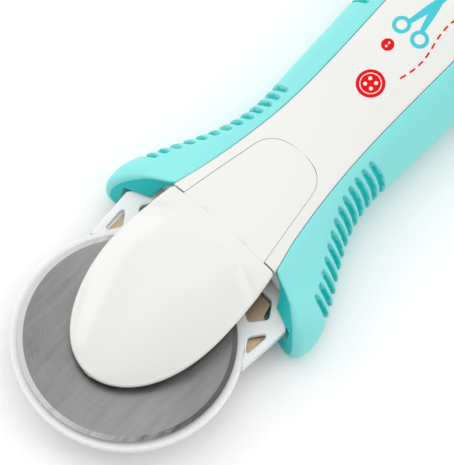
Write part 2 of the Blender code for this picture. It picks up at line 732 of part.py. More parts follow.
def make_bolt(steel, mint, brass):
    low = KNOB_Z[0] + 1.5
    profile = [(0, BOLT_TIP_Z), (BOLT_RADIUS - 0.5, BOLT_TIP_Z), (BOLT_RADIUS, BOLT_TIP_Z - 0.6)]
    profile += [(BOLT_RADIUS, low), (0, low)]
    bolt = turned("axle_bolt", profile, steel, steps=16)
    boolean(bolt, cylinder("bolt_head", (0, 0), HEX_RADIUS, (KNOB_Z[0] + 0.4, low + 0.2), 6), "UNION")
    knob = cylinder("bolt_knob", (0, 0), KNOB_RADIUS, KNOB_Z, 30, mint)
    for i in range(KNOB_SCALLOPS):
        angle = 2 * math.pi * i / KNOB_SCALLOPS
        place = (SCALLOP_CENTRE * math.cos(angle), SCALLOP_CENTRE * math.sin(angle))
        boolean(knob, cylinder(f"knob_scallop_{i}", place, SCALLOP_RADIUS, (0, 4), 8))
    boolean(knob, cylinder("knob_pocket", (0, 0), HEX_RADIUS + GAP, (0, low + 0.5), 6))
    boolean(knob, cylinder("knob_bore", (0, 0), BOLT_HOLE_RADIUS, (0, 4), 16))
    insert = cylinder("cover_insert", (0, 0), HEX_RADIUS, INSERT_Z, 6, brass)
    boolean(insert, cylinder("insert_bore", (0, 0), BOLT_HOLE_RADIUS, (11, 15), 16))


def make_guard(white):
    """The disc with the hub's slot, two side arms with windows, a cross bar and a long tail."""
    join = math.degrees(math.acos(12.0 / GUARD_RADIUS))
    half = [(11.2, 21.4), (23.4, 22.4), (25.6, 20.7), (27.3, 19.6), (32.5, 18.2), (33.5, 17.0)]
    half.append((33.5, TAIL_HALF_WIDTH))
    disc = arc(0, 0, GUARD_RADIUS, join, 360 - join, 49)
    neck = TAIL_NECK_HALF_WIDTH
    tail = [(TAIL_NECK_X[0], TAIL_HALF_WIDTH), (TAIL_NECK_X[0] + 1.5, neck), (TAIL_NECK_X[1] - 1.5, neck)]
    tail += [(TAIL_NECK_X[1], TAIL_HALF_WIDTH), (TAIL_END_X - TAIL_CHAMFER, TAIL_HALF_WIDTH)]
    tail.append((TAIL_END_X, TAIL_HALF_WIDTH - TAIL_CHAMFER))
    upper = half + tail
    outline = disc + [(x, -y) for x, y in upper] + upper[::-1]
    travel = GUARD_TRAVEL + 0.2
    hub_slot = slot(-travel, 0.2, HUB_RADIUS + GAP)
    windows = []
    outer_window = [(17.2, 17.6), (20.2, 19.8), (19.6, 20.4), (14.6, 20.0), (14.5, 19.5)]
    inner_window = [(19.5, 15.4), (22.9, 18.2), (26.4, 15.9), (26.8, 11.6), (22.2, 11.2)]
    for side in (1, -1):
        windows += [[(x, y * side) for x, y in window] for window in (outer_window, inner_window)]
    guard = plate("blade_guard", [outline, hub_slot] + windows + [lock_track()], GUARD_Z, white)
    for side in (1, -1):
        name = "left" if side > 0 else "right"
        rail = [(11.5, 20.4), (23.3, 21.2), (24.6, 20.1), (26.0, 20.3), (23.3, 22.2), (11.7, 21.3)]
        rail_z = (GUARD_ARM_BOTTOM_Z, GUARD_Z[0] + 0.6)
        wall = plate(f"guard_rail_{name}", [[(x, y * side) for x, y in rail]], rail_z)
        boolean(guard, wall, "UNION")
    seat_x = SPRING_X[0] - GAP
    seat_z = (GUARD_Z[1] - 0.6, SPRING_Z + SPRING_RADIUS)
    seat_y = SPRING_RADIUS + 0.5
    seat = box("spring_seat", (seat_x - 1.8, seat_x), (-seat_y, seat_y), seat_z)
    boolean(guard, seat, "UNION")


def lock_track():
    """The slot in the tail for the lock's post, with a side pocket for each end of the guard's travel."""
    r = LOCK_POST_RADIUS + GAP
    back = LOCK_X + r
    front = LOCK_X - GUARD_TRAVEL - r
    deep = LOCK_TRAVEL + r
    inner_front = LOCK_X - GUARD_TRAVEL + r
    inner_back = LOCK_X - r
    rear_pocket = [(back, deep), (inner_back, deep), (inner_back, r)]
    front_pocket = [(inner_front, r), (inner_front, deep), (front, deep)]
    return [(front, -r), (back, -r)] + rear_pocket + front_pocket


def make_spring(steel):
    """A coil about an axis along x, as a wire with filled ends."""
    curve = bpy.data.curves.new("guard_spring", "CURVE")
    curve.dimensions = "3D"
    curve.bevel_depth = SPRING_WIRE_RADIUS * MM
    curve.bevel_resolution = 1
    curve.use_fill_caps = True
    per_turn = 8
    count = SPRING_TURNS * per_turn + 1
    spline = curve.splines.new("POLY")
    spline.points.add(count - 1)
    start = SPRING_X[0] + SPRING_WIRE_RADIUS
    length = SPRING_X[1] - SPRING_X[0] - 2 * SPRING_WIRE_RADIUS
    for i, point in enumerate(spline.points):
        angle = 2 * math.pi * i / per_turn
        along = length * i / (count - 1)
        place = (along, SPRING_RADIUS * math.cos(angle), SPRING_RADIUS * math.sin(angle))
        point.co = [c * MM for c in place] + [1]
    add_object("guard_spring", curve, steel, (start, 0, SPRING_Z))


def make_lock(mint, white, steel):
    origin = (LOCK_X, 0, LOCK_Z[0])
    half_x, half_y = LOCK_BUTTON_HALF
    button_x = (LOCK_X - half_x, LOCK_X + half_x)
    button = box("lock_button", button_x, (-half_y, half_y), LOCK_Z, mint, origin)
    post = cylinder("lock_post", (LOCK_X, 0), LOCK_POST_RADIUS, (LOCK_Z[0] + 0.4, GUARD_Z[1]), 12)
    boolean(button, post, "UNION")
    for i in range(5):
        x = LOCK_X - 4 + 2 * i
        boolean(button, box(f"lock_groove_{i}", (x - 0.4, x + 0.4), (-3, 3), (0, LOCK_Z[0] + 0.4)))
    clip_z = bottom_z(LOCK_X) + SHELL_WALL + GAP
    clip_edge = [(LOCK_X + x, y) for x, y in ((-4.5, -3.2), (4.5, -3.2), (4.5, 3.2), (-4.5, 3.2))]
    clip_hole = circle(LOCK_X, 0, LOCK_POST_RADIUS + GAP, 12)
    plate("lock_clip", [clip_edge, clip_hole], (clip_z, clip_z + 0.8), white, origin)
    near = LOCK_X - 4.9
    far = near - 0.5
    leaf = [(far, -5.6), (near, -5.6), (near, 1.0), (near - 0.3, 2.2), (near, 3.4), (near, 5.6)]
    leaf += [(far, 5.6), (far, 3.4), (far - 0.3, 2.2), (far, 1.0)]
    plate("lock_detent_spring", [leaf], (clip_z, clip_z + 1.6), steel)


# Fasteners


def screw_mesh(name, length):
    """A pan-head screw with its head down and a cross recess in the head."""
    head = SCREW_HEAD_HEIGHT
    profile = [(0, length), (0.5, length), (SCREW_RADIUS, length - 1.2), (SCREW_RADIUS, head)]
    profile += [(SCREW_HEAD_RADIUS, head), (SCREW_HEAD_RADIUS, 0.4), (SCREW_HEAD_RADIUS - 0.5, 0), (0, 0)]
    blank = turned(name + "_blank", profile, None, (0, 0, 0), 10)
    boolean(blank, box(name + "_cross_x", (-1.2, 1.2), (-0.25, 0.25), (-0.5, 0.6)))
    boolean(blank, box(name + "_cross_y", (-0.25, 0.25), (-1.2, 1.2), (-0.5, 0.6)))
    mesh = evaluated_mesh(blank)
    bpy.data.objects.remove(blank)
    return mesh


def make_screws(steel):
    shell_mesh = screw_mesh("shell_screw", SHELL_SCREW_LENGTH)
    for i, (x, y) in enumerate(SHELL_SCREWS):
        add_object(f"shell_screw_{i + 1}", shell_mesh, steel, (x, y, bottom_z(x) + 0.9))
    arm_mesh = screw_mesh("arm_screw", ARM_SCREW_LENGTH)
    for name, x in zip(("arm_screw_front", "arm_screw_rear"), ARM_SCREWS_X):
        add_object(name, arm_mesh, steel, (x, 0, 0.3))


def main():
    mint = new_material("mint_soft_plastic", MINT, 0.5)
    white = new_material("white_plastic", WHITE, 0.35)
    cool_white = new_material("guard_plastic", COOL_WHITE, 0.3)
    steel = new_material("steel", STEEL, 0.25, 1.0)
    brass = new_material("brass", BRASS, 0.35, 1.0)
    mouth = mouth_cutter()
    front = front_cutter()
    make_upper_shell(white)
    make_lower_shell(white)
    make_grip("grip_left", 1, mint, front, mouth)
    make_grip("grip_right", -1, mint, front, mouth)
    make_head_cover(white)
    make_blade_arm(steel)
    make_hub_bush(cool_white)
    make_blade(steel)
    make_washers(steel)
    make_bolt(steel, mint, brass)
    make_guard(cool_white)
    make_spring(steel)
    make_lock(mint, cool_white, steel)
    make_screws(steel)


main()
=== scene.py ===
"""Looks of the rotary cutter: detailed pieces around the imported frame, materials, studio and camera.

Shapes are written in millimetres with the blade's axis at x = 0, y = 0 and the table at z = 0, and the handle
runs to +X. The function place() turns them into the frame's metres.
"""

import math

import bmesh
import bpy
import numpy as np
from mathutils import Matrix, Vector


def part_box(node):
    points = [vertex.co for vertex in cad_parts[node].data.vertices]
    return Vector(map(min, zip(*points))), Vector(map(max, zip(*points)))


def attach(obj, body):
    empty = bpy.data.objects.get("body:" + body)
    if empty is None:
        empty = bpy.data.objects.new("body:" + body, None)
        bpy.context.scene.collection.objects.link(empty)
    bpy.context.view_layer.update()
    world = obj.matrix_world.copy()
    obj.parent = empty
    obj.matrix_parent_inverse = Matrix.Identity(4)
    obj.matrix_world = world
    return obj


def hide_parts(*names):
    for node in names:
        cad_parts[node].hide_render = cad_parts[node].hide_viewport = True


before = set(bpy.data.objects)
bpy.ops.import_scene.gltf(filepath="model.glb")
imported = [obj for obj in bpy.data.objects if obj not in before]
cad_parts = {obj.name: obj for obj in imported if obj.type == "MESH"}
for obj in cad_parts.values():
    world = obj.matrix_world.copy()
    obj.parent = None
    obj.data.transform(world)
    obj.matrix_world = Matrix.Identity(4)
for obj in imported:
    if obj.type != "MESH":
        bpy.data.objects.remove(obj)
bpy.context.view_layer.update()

MM = 0.001
# Gaps between touching pieces, and the finer seam between panel and grip
GAP = 0.3
SEAM = 0.12
BLADE_LOW, BLADE_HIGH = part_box("blade")
AXIS_X = (BLADE_LOW.x + BLADE_HIGH.x) / 2
BLADE_Z = (BLADE_LOW.z + BLADE_HIGH.z) / 2 / MM

# Handle, as in the CAD part. A table of pairs is (x, value), and smooth() draws a curve through it.
HANDLE_END_X = 154.0
END_FLAT = 0.25
END_ROUNDING = 14.0
GRIP_END_X = 146.0
GRIP_THICKNESS = 2.5
SHELL_WALL = 2.2
PANEL_WALL_AT_COVER = 4.0
HOLLOW_END_X = 143.0
UPPER_START_X = 28.7
LOWER_START_X = 27.0
PARTING_Z = 8.5
MOUTH_Z = (4.6, 8.45)
MOUTH_END_X = 41.5
LOWER_LIP_Z = 5.2
HALF_WIDTH = ((20, 27.3), (24, 27.85), (27, 27.9), (31, 26.7), (36, 24.4), (41, 21.5), (46, 18.8),
              (52, 16.7), (58, 16.0), (66, 16.3), (82, 16.9), (102, 17.8), (122, 17.3), (140, 15.4),
              (154, 13.5))
WIDEST_Z = ((20, 4.2), (36, 4.6), (60, 7.5), (110, 8.2), (154, 9.0))
PANEL_HALF_WIDTH = ((20, 14.6), (28, 14.2), (36, 12.4), (46, 10.8), (57, 9.7), (68, 9.4), (88, 9.8),
                    (110, 10.6), (130, 10.2), (154, 8.6))
PANEL_Z = ((20, 16.4), (28, 16.9), (36, 17.0), (46, 16.6), (57, 16.4), (68, 17.0), (88, 19.0),
           (104, 20.2), (122, 19.8), (140, 17.8), (154, 15.4))
CROWN = ((20, 1.3), (30, 1.3), (55, 0.8), (90, 1.0), (154, 1.2))
BOTTOM_HALF_WIDTH = ((20, 21.0), (30, 20.5), (40, 15.5), (52, 11.2), (70, 10.2), (110, 11.0), (154, 8.5))
FLANK_INSET = ((20, 11.5), (30, 9.0), (36, 5.5), (44, 2.6), (50, GRIP_THICKNESS), (154, GRIP_THICKNESS))
FLANK_SLOPE = ((20, 0.55), (32, 0.5), (54, 0.35), (154, 0.35))
FLANK_FULLNESS = ((20, 0.52), (28, 0.48), (34, 0.36), (54, 0.55), (154, 0.55))
UNDER_PANEL_HALF_WIDTH = ((20, 13.0), (50, 10.4), (60, 9.7), (110, 9.4), (154, 7.2))
UNDERSIDE_ARCH = 2.0
ARCH_X = (50.0, 106.0)
REAR_LIFT = 2.2
REAR_LIFT_X = 128.0
SHELL_SCREWS = ((56.0, 6.6), (56.0, -6.6), (100.0, 0.0), (136.0, 0.0))
ARM_SCREWS_X = (31.0, 47.0)
SCREW_HEAD_BORE = 2.5

# Turn of the camera about the upright axis in degrees, and of the painted sheen on the blade
CAMERA_TURN = 51.7

# The front of the grips in plan at the mouth's roof, as (y, x), and how far it moves along x at each height
FRONT_LINE = ((12.0, 28.3), (15.2, 26.6), (17.9, 25.6), (20.8, 24.4), (23.0, 23.5), (26.0, 22.4),
              (30.0, 21.9))
FRONT_LEAN = ((-2.0, -1.9), (8.45, 0.0), (13.0, 2.05), (26.0, 2.05))
# Radius of the front's edge: 0 is at the panel, 1 on the widest line and 2 underneath
FRONT_ROUNDING = ((0.0, 0.5), (0.25, 0.7), (0.55, 1.2), (0.8, 1.8), (1.0, 2.0), (1.3, 1.7),
                  (1.7, 1.0), (2.0, 0.8))
# Behind this the grips' sections stand upright
FRONT_BACK_X = 31.0
SEAM_ROUNDING = 0.25
REAR_EDGE_ROUNDING = 0.35

# Finger grooves, as (x, size): a front row of 13 and a smaller rear row of 9
GROOVES = [(32.2 + (60.3 - 32.2) / 12 * i, 1.0) for i in range(13)]
GROOVES += [(86.4 + 2.45 * i, 0.85) for i in range(9)]
GROOVES_X = (31, 110)
GROOVE_HALF_WIDTH = 0.6
GROOVE_DEPTH = 1.4
# How far inside the widest line a groove starts
GROOVE_REACH = ((32, 3.6), (46, 3.9), (60, 4.2), (110, 4.6))

# Blade and guard
BLADE_RADIUS = 22.5
BLADE_BEVEL_WIDTH = 1.1
BLADE_HALF_THICKNESS = 0.15
BLADE_EDGE = 0.012
BLADE_BORE_RADIUS = 4.0
BORE_CHAMFER = 0.05
GUARD_RADIUS = 24.0
GUARD_JOIN_X = 12.0
GUARD_Z = (6.5, 8.0)
RAIL_Z = (4.9, 7.6)

# Thumb knob
KNOB_RADIUS = 7.0
KNOB_SCALLOPS = 10
KNOB_SCALLOP_DEPTH = 0.55
KNOB_Z = (0.5, 3.3)
HEX_RADIUS = 3.9


# Interpolation


def smooth(points, x):
    """Value at x of a smooth curve through (x, value) points. It stays level past both ends."""
    xs = [p[0] for p in points]
    ys = [p[1] for p in points]
    if x <= xs[0]:
        return ys[0]
    if x >= xs[-1]:
        return ys[-1]
    slopes = []
    for i in range(len(points)):
        low = max(i - 1, 0)
        high = min(i + 1, len(points) - 1)
        slopes.append((ys[high] - ys[low]) / (xs[high] - xs[low]))
    i = max(k for k in range(len(points) - 1) if xs[k] <= x)
    step = xs[i + 1] - xs[i]
    t = (x - xs[i]) / step
    rise = 3 * t * t - 2 * t**3
    bend = slopes[i] * (t**3 - 2 * t * t + t) + slopes[i + 1] * (t**3 - t * t)
    return ys[i] + (ys[i + 1] - ys[i]) * rise + step * bend


def ramp(low, high, x):
    """Rises from 0 to 1, slowly at both ends, as x goes from low to high."""
    t = min(max((x - low) / (high - low), 0.0), 1.0)
    return t * t * (3 - 2 * t)


def mix(a, b, t):
    return a + (b - a) * t


def bezier(a, b, c, d, t):
    """Point at t of the cubic curve from a to d, with b and c as its handles."""
    s = 1 - t
    weights = (s**3, 3 * s * s * t, 3 * s * t * t, t**3)
    return tuple(sum(w * p[k] for w, p in zip(weights, (a, b, c, d))) for k in (0, 1))


def arc(cx, cy, radius, start, end, count):
    """Points on an arc between two angles in degrees, both ends included."""
    angles = [start + (end - start) * i / (count - 1) for i in range(count)]
    return [(cx + radius * cos, cy + radius * sin) for sin, cos in turns(*angles)]


def circle(cx, cy, radius, count):
    return arc(cx, cy, radius, 0, 360 * (count - 1) / count, count)


def turns(*degrees):
    """The sine and cosine of each angle."""
    return [(math.sin(math.radians(d)), math.cos(math.radians(d))) for d in degrees]


def spread(low, high, step):
    """Evenly spaced values from low to high, both included."""
    count = max(int(math.ceil((high - low) / step)), 1)
    return [low + (high - low) * i / count for i in range(count + 1)]


# Objects


def place(x, y, z):
    """A point of this script in the frame's metres."""
    return (AXIS_X + x * MM, y * MM, z * MM)


def add_object(name, data):
    obj = bpy.data.objects.new(name, data)
    bpy.context.scene.collection.objects.link(obj)
    return obj


def add_piece(name, mesh, materials, body, replaced=(), sharp=42):
    """Adds a piece that rides on a body, takes its finish from a slot and stands for CAD nodes."""
    kept = [face.material_index for face in mesh.polygons]
    mesh.materials.clear()
    for material in materials:
        mesh.materials.append(material)
    mesh.polygons.foreach_set("material_index", kept)
    mesh.shade_smooth()
    mesh.set_sharp_from_angle(angle=math.radians(sharp))
    piece = add_object(name, mesh)
    even = piece.modifiers.new("even_shading", "WEIGHTED_NORMAL")
    even.keep_sharp = True
    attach(piece, body)
    if replaced:
        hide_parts(*replaced)
    return piece


def to_mesh(name, bm, merge=False):
    """A mesh from bm, with its faces pointing out. bm goes."""
    if merge:
        bmesh.ops.remove_doubles(bm, verts=bm.verts, dist=1e-6)
    bmesh.ops.recalc_face_normals(bm, faces=bm.faces)
    if bm.calc_volume(signed=True) < 0:
        bmesh.ops.reverse_faces(bm, faces=bm.faces)
    mesh = bpy.data.meshes.new(name)
    bm.to_mesh(mesh)
    bm.free()
    return mesh


def band(bm, low, high):
    """The faces between two closed rings of corners."""
    corners = zip(low, low[1:] + low[:1], high[1:] + high[:1], high)
    return [bm.faces.new(four) for four in corners]


def loft(name, rings):
    """A closed body through rings of (x, y, z) that all have the same number of points."""
    bm = bmesh.new()
    loops = [[bm.verts.new(place(*p)) for p in ring] for ring in rings]
    for low, high in zip(loops, loops[1:]):
        band(bm, low, high)
    bm.faces.new(loops[0])
    bm.faces.new(loops[-1])
    return to_mesh(name, bm)


def sleeve(name, rings, shade=None):
    """A closed body through rings whose second half lies beside the first, so that its ends are strips.

    shade gives a face's material from a corner and its column, which is None on the end strips.
    """
    bm = bmesh.new()
    loops = [[bm.verts.new(place(*p)) for p in ring] for ring in rings]
    count = len(rings[0])
    for ring, low, high in zip(rings, loops, loops[1:]):
        for i, face in enumerate(band(bm, low, high)):
            if shade:
                face.material_index = shade(ring[i], i)
    for ring, end in ((rings[0], loops[0]), (rings[-1], loops[-1])):
        for i in range(count // 2 - 1):
            face = bm.faces.new((end[i], end[i + 1], end[count - 2 - i], end[count - 1 - i]))
            if shade:
                face.material_index = shade(ring[i], None)
    return to_mesh(name, bm)


def plate(name, outlines, z_range, rounding):
    """A flat plate from outlines in plan, the first its edge and the rest its holes, with rounded edges."""
    curve = bpy.data.curves.new(name, "CURVE")
    curve.dimensions = "2D"
    curve.fill_mode = "BOTH"
    curve.extrude = ((z_range[1] - z_range[0]) / 2 - rounding) * MM
    curve.bevel_depth = rounding * MM
    curve.bevel_resolution = 2
    curve.offset = -rounding * MM
    for outline in outlines:
        spline = curve.splines.new("POLY")
        spline.points.add(len(outline) - 1)
        spline.use_cyclic_u = True
        for point, (x, y) in zip(spline.points, outline):
            point.co = (AXIS_X + x * MM, y * MM, 0, 1)
    mesh = final_mesh(add_object(name + "_outline", curve))
    bm = bmesh.new()
    bm.from_mesh(mesh)
    bpy.data.meshes.remove(mesh)
    bmesh.ops.translate(bm, verts=bm.verts, vec=(0, 0, (z_range[0] + z_range[1]) / 2 * MM))
    return to_mesh(name, bm, merge=True)


def final_mesh(obj):
    """The object's mesh with its modifiers applied. The object itself goes."""
    bpy.context.view_layer.update()
    graph = bpy.context.evaluated_depsgraph_get()
    mesh = bpy.data.meshes.new_from_object(obj.evaluated_get(graph))
    bpy.data.objects.remove(obj)
    return mesh


def triangulate(mesh):
    bm = bmesh.new()
    bm.from_mesh(mesh)
    bmesh.ops.triangulate(bm, faces=bm.faces)
    bm.to_mesh(mesh)
    bm.free()


def cut(mesh, cutters, operation="DIFFERENCE"):
    """The mesh after each cutter mesh has been cut from it or joined to it."""
    triangulate(mesh)
    target = add_object("cut_target", mesh)
    tools = []
    for cutter in cutters:
        triangulate(cutter)
        tool = add_object("cut_tool", cutter)
        tools.append(tool)
        modifier = target.modifiers.new("cut", "BOOLEAN")
        modifier.object = tool
        modifier.operation = operation
        modifier.solver = "MANIFOLD"
    result = final_mesh(target)
    for tool in tools:
        bpy.data.objects.remove(tool)
    return result


def turned(name, profile, steps):
    """A turned body about the blade's axis, from a closed profile of (radius, z)."""
    bm = bmesh.new()
    loops = []
    for i in range(steps):
        angle = 2 * math.pi * i / steps
        c, s = math.cos(angle), math.sin(angle)
        loops.append([bm.verts.new(place(r * c, r * s, z)) for r, z in profile])
    for low, high in zip(loops, loops[1:] + loops[:1]):
        band(bm, low, high)
    return to_mesh(name, bm)


def box(name, x_range, y_range, z_range):
    bm = bmesh.new()
    bmesh.ops.create_cube(bm, size=1)
    low = place(x_range[0], y_range[0], z_range[0])
    high = place(x_range[1], y_range[1], z_range[1])
    for vert in bm.verts:
        vert.co = [(a + b) / 2 + c * (b - a) for a, b, c in zip(low, high, vert.co)]
    return to_mesh(name, bm)


def rounded_corner(profile, radius):
    """A closed outline with each corner replaced by a small curve."""
    steps = 4
    longest = 0.45
    out = []
    count = len(profile)
    for i, corner in enumerate(profile):
        p = Vector(corner)
        before = Vector(profile[i - 1]) - p
        after = Vector(profile[(i + 1) % count]) - p
        reach_a = min(radius, before.length * longest)
        reach_b = min(radius, after.length * longest)
        a = p + before.normalized() * reach_a
        b = p + after.normalized() * reach_b
        for k in range(steps + 1):
            t = k / steps
            out.append(tuple(a * (1 - t) ** 2 + p * 2 * t * (1 - t) + b * t * t))
    return out


# Materials

# The part of the noise's range that is spread over the colours and the gloss
NOISE_RANGE = (0.3, 0.7)


class Nodes:
    """A Principled material and short ways to add procedural detail to it."""

    def __init__(self, name, colour, roughness, metallic=0.0, **sockets):
        self.material = bpy.data.materials.new(name)
        self.material.use_nodes = True
        self.tree = self.material.node_tree
        self.shader = self.tree.nodes["Principled BSDF"]
        self.shader.inputs["Base Color"].default_value = (*colour, 1)
        self.shader.inputs["Roughness"].default_value = roughness
        self.shader.inputs["Metallic"].default_value = metallic
        for socket, value in sockets.items():
            self.shader.inputs[socket.replace("_", " ")].default_value = value
        self.coordinates = self.add("ShaderNodeTexCoord").outputs["Object"]

    def add(self, kind, values=(), **settings):
        """A new node. values are (socket, value) pairs, and settings its properties."""
        node = self.tree.nodes.new(kind)
        for key, value in settings.items():
            setattr(node, key, value)
        for socket, value in values:
            node.inputs[socket].default_value = value
        return node

    def link(self, source, target):
        self.tree.links.new(source, target)

    def math(self, operation, a, b=0.0):
        """A sum on numbers or sockets."""
        node = self.add("ShaderNodeMath", operation=operation)
        for socket, value in zip(node.inputs, (a, b)):
            if isinstance(value, (int, float)):
                socket.default_value = value
            else:
                self.link(value, socket)
        return node.outputs[0]

    def noise(self, feature, detail=2.0, vector=None, stretch=None):
        """Noise whose features are about that many millimetres across."""
        node = self.add("ShaderNodeTexNoise", (("Scale", 1 / (feature * MM)), ("Detail", detail)))
        source = vector or self.coordinates
        if stretch:
            mapping = self.add("ShaderNodeMapping", [("Scale", stretch)])
            self.link(source, mapping.inputs["Vector"])
            source = mapping.outputs["Vector"]
        self.link(source, node.inputs["Vector"])
        return node.outputs["Fac"]

    def colours(self, factor, low, high):
        """A colour between low and high as the factor goes through its range."""
        node = self.add("ShaderNodeValToRGB")
        elements = node.color_ramp.elements
        elements[0].position, elements[1].position = NOISE_RANGE
        elements[0].color, elements[1].color = (*low, 1), (*high, 1)
        self.link(factor, node.inputs["Fac"])
        return node.outputs["Color"]

    def paint(self, colour):
        self.link(colour, self.shader.inputs["Base Color"])

    def rough(self, factor, low, high):
        """Lets the roughness go from low to high with the factor."""
        limits = zip(("From Min", "From Max", "To Min", "To Max"), (*NOISE_RANGE, low, high))
        node = self.add("ShaderNodeMapRange", limits)
        self.link(factor, node.inputs["Value"])
        self.link(node.outputs["Result"], self.shader.inputs["Roughness"])

    def bump(self, height, depth_mm):
        node = self.add("ShaderNodeBump", (("Strength", 1.0), ("Distance", depth_mm * MM)))
        self.link(height, node.inputs["Height"])
        self.link(node.outputs["Normal"], self.shader.inputs["Normal"])


def tinted(colour, factor):
    """A lighter or darker shade of a colour."""
    return tuple(c * factor for c in colour)


def moulded(name, colour, roughness, grain_mm=0.22, grain_depth=0.004, tint=0.03, **sockets):
    """Moulded plastic: faint flow marks in the colour, uneven gloss and a fine grain."""
    nodes = Nodes(name, colour, roughness, **sockets)
    flow = nodes.noise(14.0, 3.0, stretch=(0.35, 1, 1))
    nodes.paint(nodes.colours(flow, tinted(colour, 1 - tint), tinted(colour, 1 + tint * 0.5)))
    nodes.rough(nodes.noise(3.0, 2.0), roughness - 0.04, roughness + 0.05)
    nodes.bump(nodes.noise(grain_mm, 2.0), grain_depth)
    return nodes.material


def metal(name, colour, roughness, scratch=(1, 12, 12)):
    """Plated steel with fine tool marks."""
    nodes = Nodes(name, colour, roughness, 1.0)
    marks = nodes.noise(1.2, 4.0, stretch=scratch)
    nodes.paint(nodes.colours(marks, tinted(colour, 0.86), tinted(colour, 1.08)))
    nodes.rough(nodes.noise(0.6, 3.0, stretch=scratch), roughness - 0.07, roughness + 0.1)
    nodes.bump(marks, 0.003)
    return nodes.material


def blade_steel(name, colour, roughness, across):
    """Ground steel. The lines run round the blade's axis, or from it outwards where across is true.

    The sheen is a painted reflection: bright and dark bands that turn with the blade. Its direction was set
    from CAMERA_TURN.
    """
    nodes = Nodes(name, colour, roughness, 1.0)
    split = nodes.add("ShaderNodeSeparateXYZ")
    nodes.link(nodes.coordinates, split.inputs[0])
    x = nodes.math("SUBTRACT", split.outputs["X"], AXIS_X)
    y = split.outputs["Y"]
    angle = nodes.math("ARCTAN2", y, x)
    radius = nodes.math("SQRT", nodes.math("ADD", nodes.math("MULTIPLY", x, x), nodes.math("MULTIPLY", y, y)))
    join = nodes.add("ShaderNodeCombineXYZ")
    ring_scale, turn_scale = (0.1, 0.05) if across else (1.0, 0.0006)
    nodes.link(nodes.math("MULTIPLY", radius, ring_scale), join.inputs["X"])
    nodes.link(nodes.math("MULTIPLY", angle, turn_scale), join.inputs["Y"])
    lines = nodes.noise(0.16, 3.0, vector=join.outputs[0])
    streaks = nodes.noise(2.2, 5.0, stretch=(0.22, 1.6, 1))
    cloud = nodes.noise(9.0, 3.0)
    blend = nodes.math("ADD", nodes.math("MULTIPLY", lines, 0.35), nodes.math("MULTIPLY", streaks, 0.4))
    blend = nodes.math("ADD", blend, nodes.math("MULTIPLY", cloud, 0.25))
    # Painted reflection: lighter and darker bands by the angle about the axis, two bright lobes a turn on the
    # face and one on the bevel
    from_right = nodes.math("ADD", angle, math.radians(CAMERA_TURN))
    sheen = nodes.math("COSINE", nodes.math("MULTIPLY", from_right, 1.0 if across else 2.0))
    shade = nodes.math("SUBTRACT", blend, nodes.math("MULTIPLY", sheen, 0.3 if across else 0.07))
    nodes.paint(nodes.colours(shade, tinted(colour, 0.25 if across else 0.72), tinted(colour, 1.25)))
    nodes.rough(blend, roughness - 0.06, roughness + 0.08)
    nodes.bump(lines, 0.002)
    return nodes.material


MINT = (0.24, 0.76, 0.745)
MINT_PLASTIC = moulded("mint_soft_plastic", MINT, 0.42, 0.3, 0.006, 0.04, Specular_IOR_Level=0.4)
# Darker mint: painted shade on the grips' fronts and in their grooves
MINT_PAINTED_SHADE = moulded("mint_painted_shade", (0.02, 0.62, 0.61), 0.5, 0.3, 0.006, 0.04, Specular_IOR_Level=0.3)
WHITE_PLASTIC = moulded("white_shell_plastic", (0.79, 0.795, 0.768), 0.3, 0.8, 0.0008, 0.02)
COVER_PLASTIC = moulded("white_cover_plastic", (0.785, 0.79, 0.765), 0.14, 0.5, 0.0008, 0.02)
GUARD_PLASTIC = moulded("guard_plastic", (0.86, 0.87, 0.875), 0.28, 0.4, 0.003, 0.03)
# Tan: painted warm shade for the underside of the cover, over the blade
TAN_PAINTED_SHADE = moulded("tan_painted_underside_shade", (0.72, 0.58, 0.45), 0.4)
BLADE_FLAT = blade_steel("blade_ground_face_painted_sheen", (0.215, 0.214, 0.212), 0.34, False)
BLADE_BEVEL = blade_steel("blade_ground_bevel_painted_sheen", (0.36, 0.355, 0.35), 0.24, True)
PLATED = metal("plated_steel", (0.55, 0.54, 0.53), 0.3)
# Tan steel for the blade arm: painted warm shade for the cavity under the guard
TAN_STEEL_PAINTED_SHADE = metal("tan_steel_painted_shade", (0.55, 0.40, 0.27), 0.45)
BRASS = metal("turned_brass", (0.75, 0.58, 0.28), 0.3)
RED_INK = moulded("red_ink", (0.78, 0.002, 0.006), 0.5, 0.2, 0.002, Specular_IOR_Level=0.1)
TEAL_INK = moulded("teal_ink", (0.07, 0.56, 0.65), 0.5, 0.2, 0.002, Specular_IOR_Level=0.1)


# Cross-sections of the handle


def end_scale(x):
    """Share of its width that the handle keeps at its rounded end."""
    start = HANDLE_END_X - END_ROUNDING
    return 1.0 if x <= start else math.sqrt(max(1 - ((x - start) / END_ROUNDING) ** 2, 0.0))


def flattening(x):
    """Share of its height that the handle keeps at its rounded end."""
    return 0.25 + 0.75 * end_scale(x)


def bottom_z(x):
    """Underside of the handle: a shallow arch, and a lift at the rear."""
    arch_u = (x - ARCH_X[0]) / (ARCH_X[1] - ARCH_X[0])
    arch = UNDERSIDE_ARCH * math.sin(math.pi * arch_u) ** 2 if 0 < arch_u < 1 else 0.0
    return arch + REAR_LIFT * ramp(REAR_LIFT_X, HANDLE_END_X + 12, x)


def panel_z(x, y, inset=0.0):
    """Height of the crowned panel, less an inset."""
    half = smooth(PANEL_HALF_WIDTH, x)
    return smooth(PANEL_Z, x) + smooth(CROWN, x) * (1 - (y / half) ** 2) - inset


def middle_z(x):
    return (panel_z(x, 0) + bottom_z(x)) / 2


def shrink(points, x):
    """A section of (y, z) at x as (x, y, z), drawn in where the handle's end is rounded."""
    scale = end_scale(x)
    return [(x, y * scale, middle_z(x) + (z - middle_z(x)) * flattening(x)) for y, z in points]


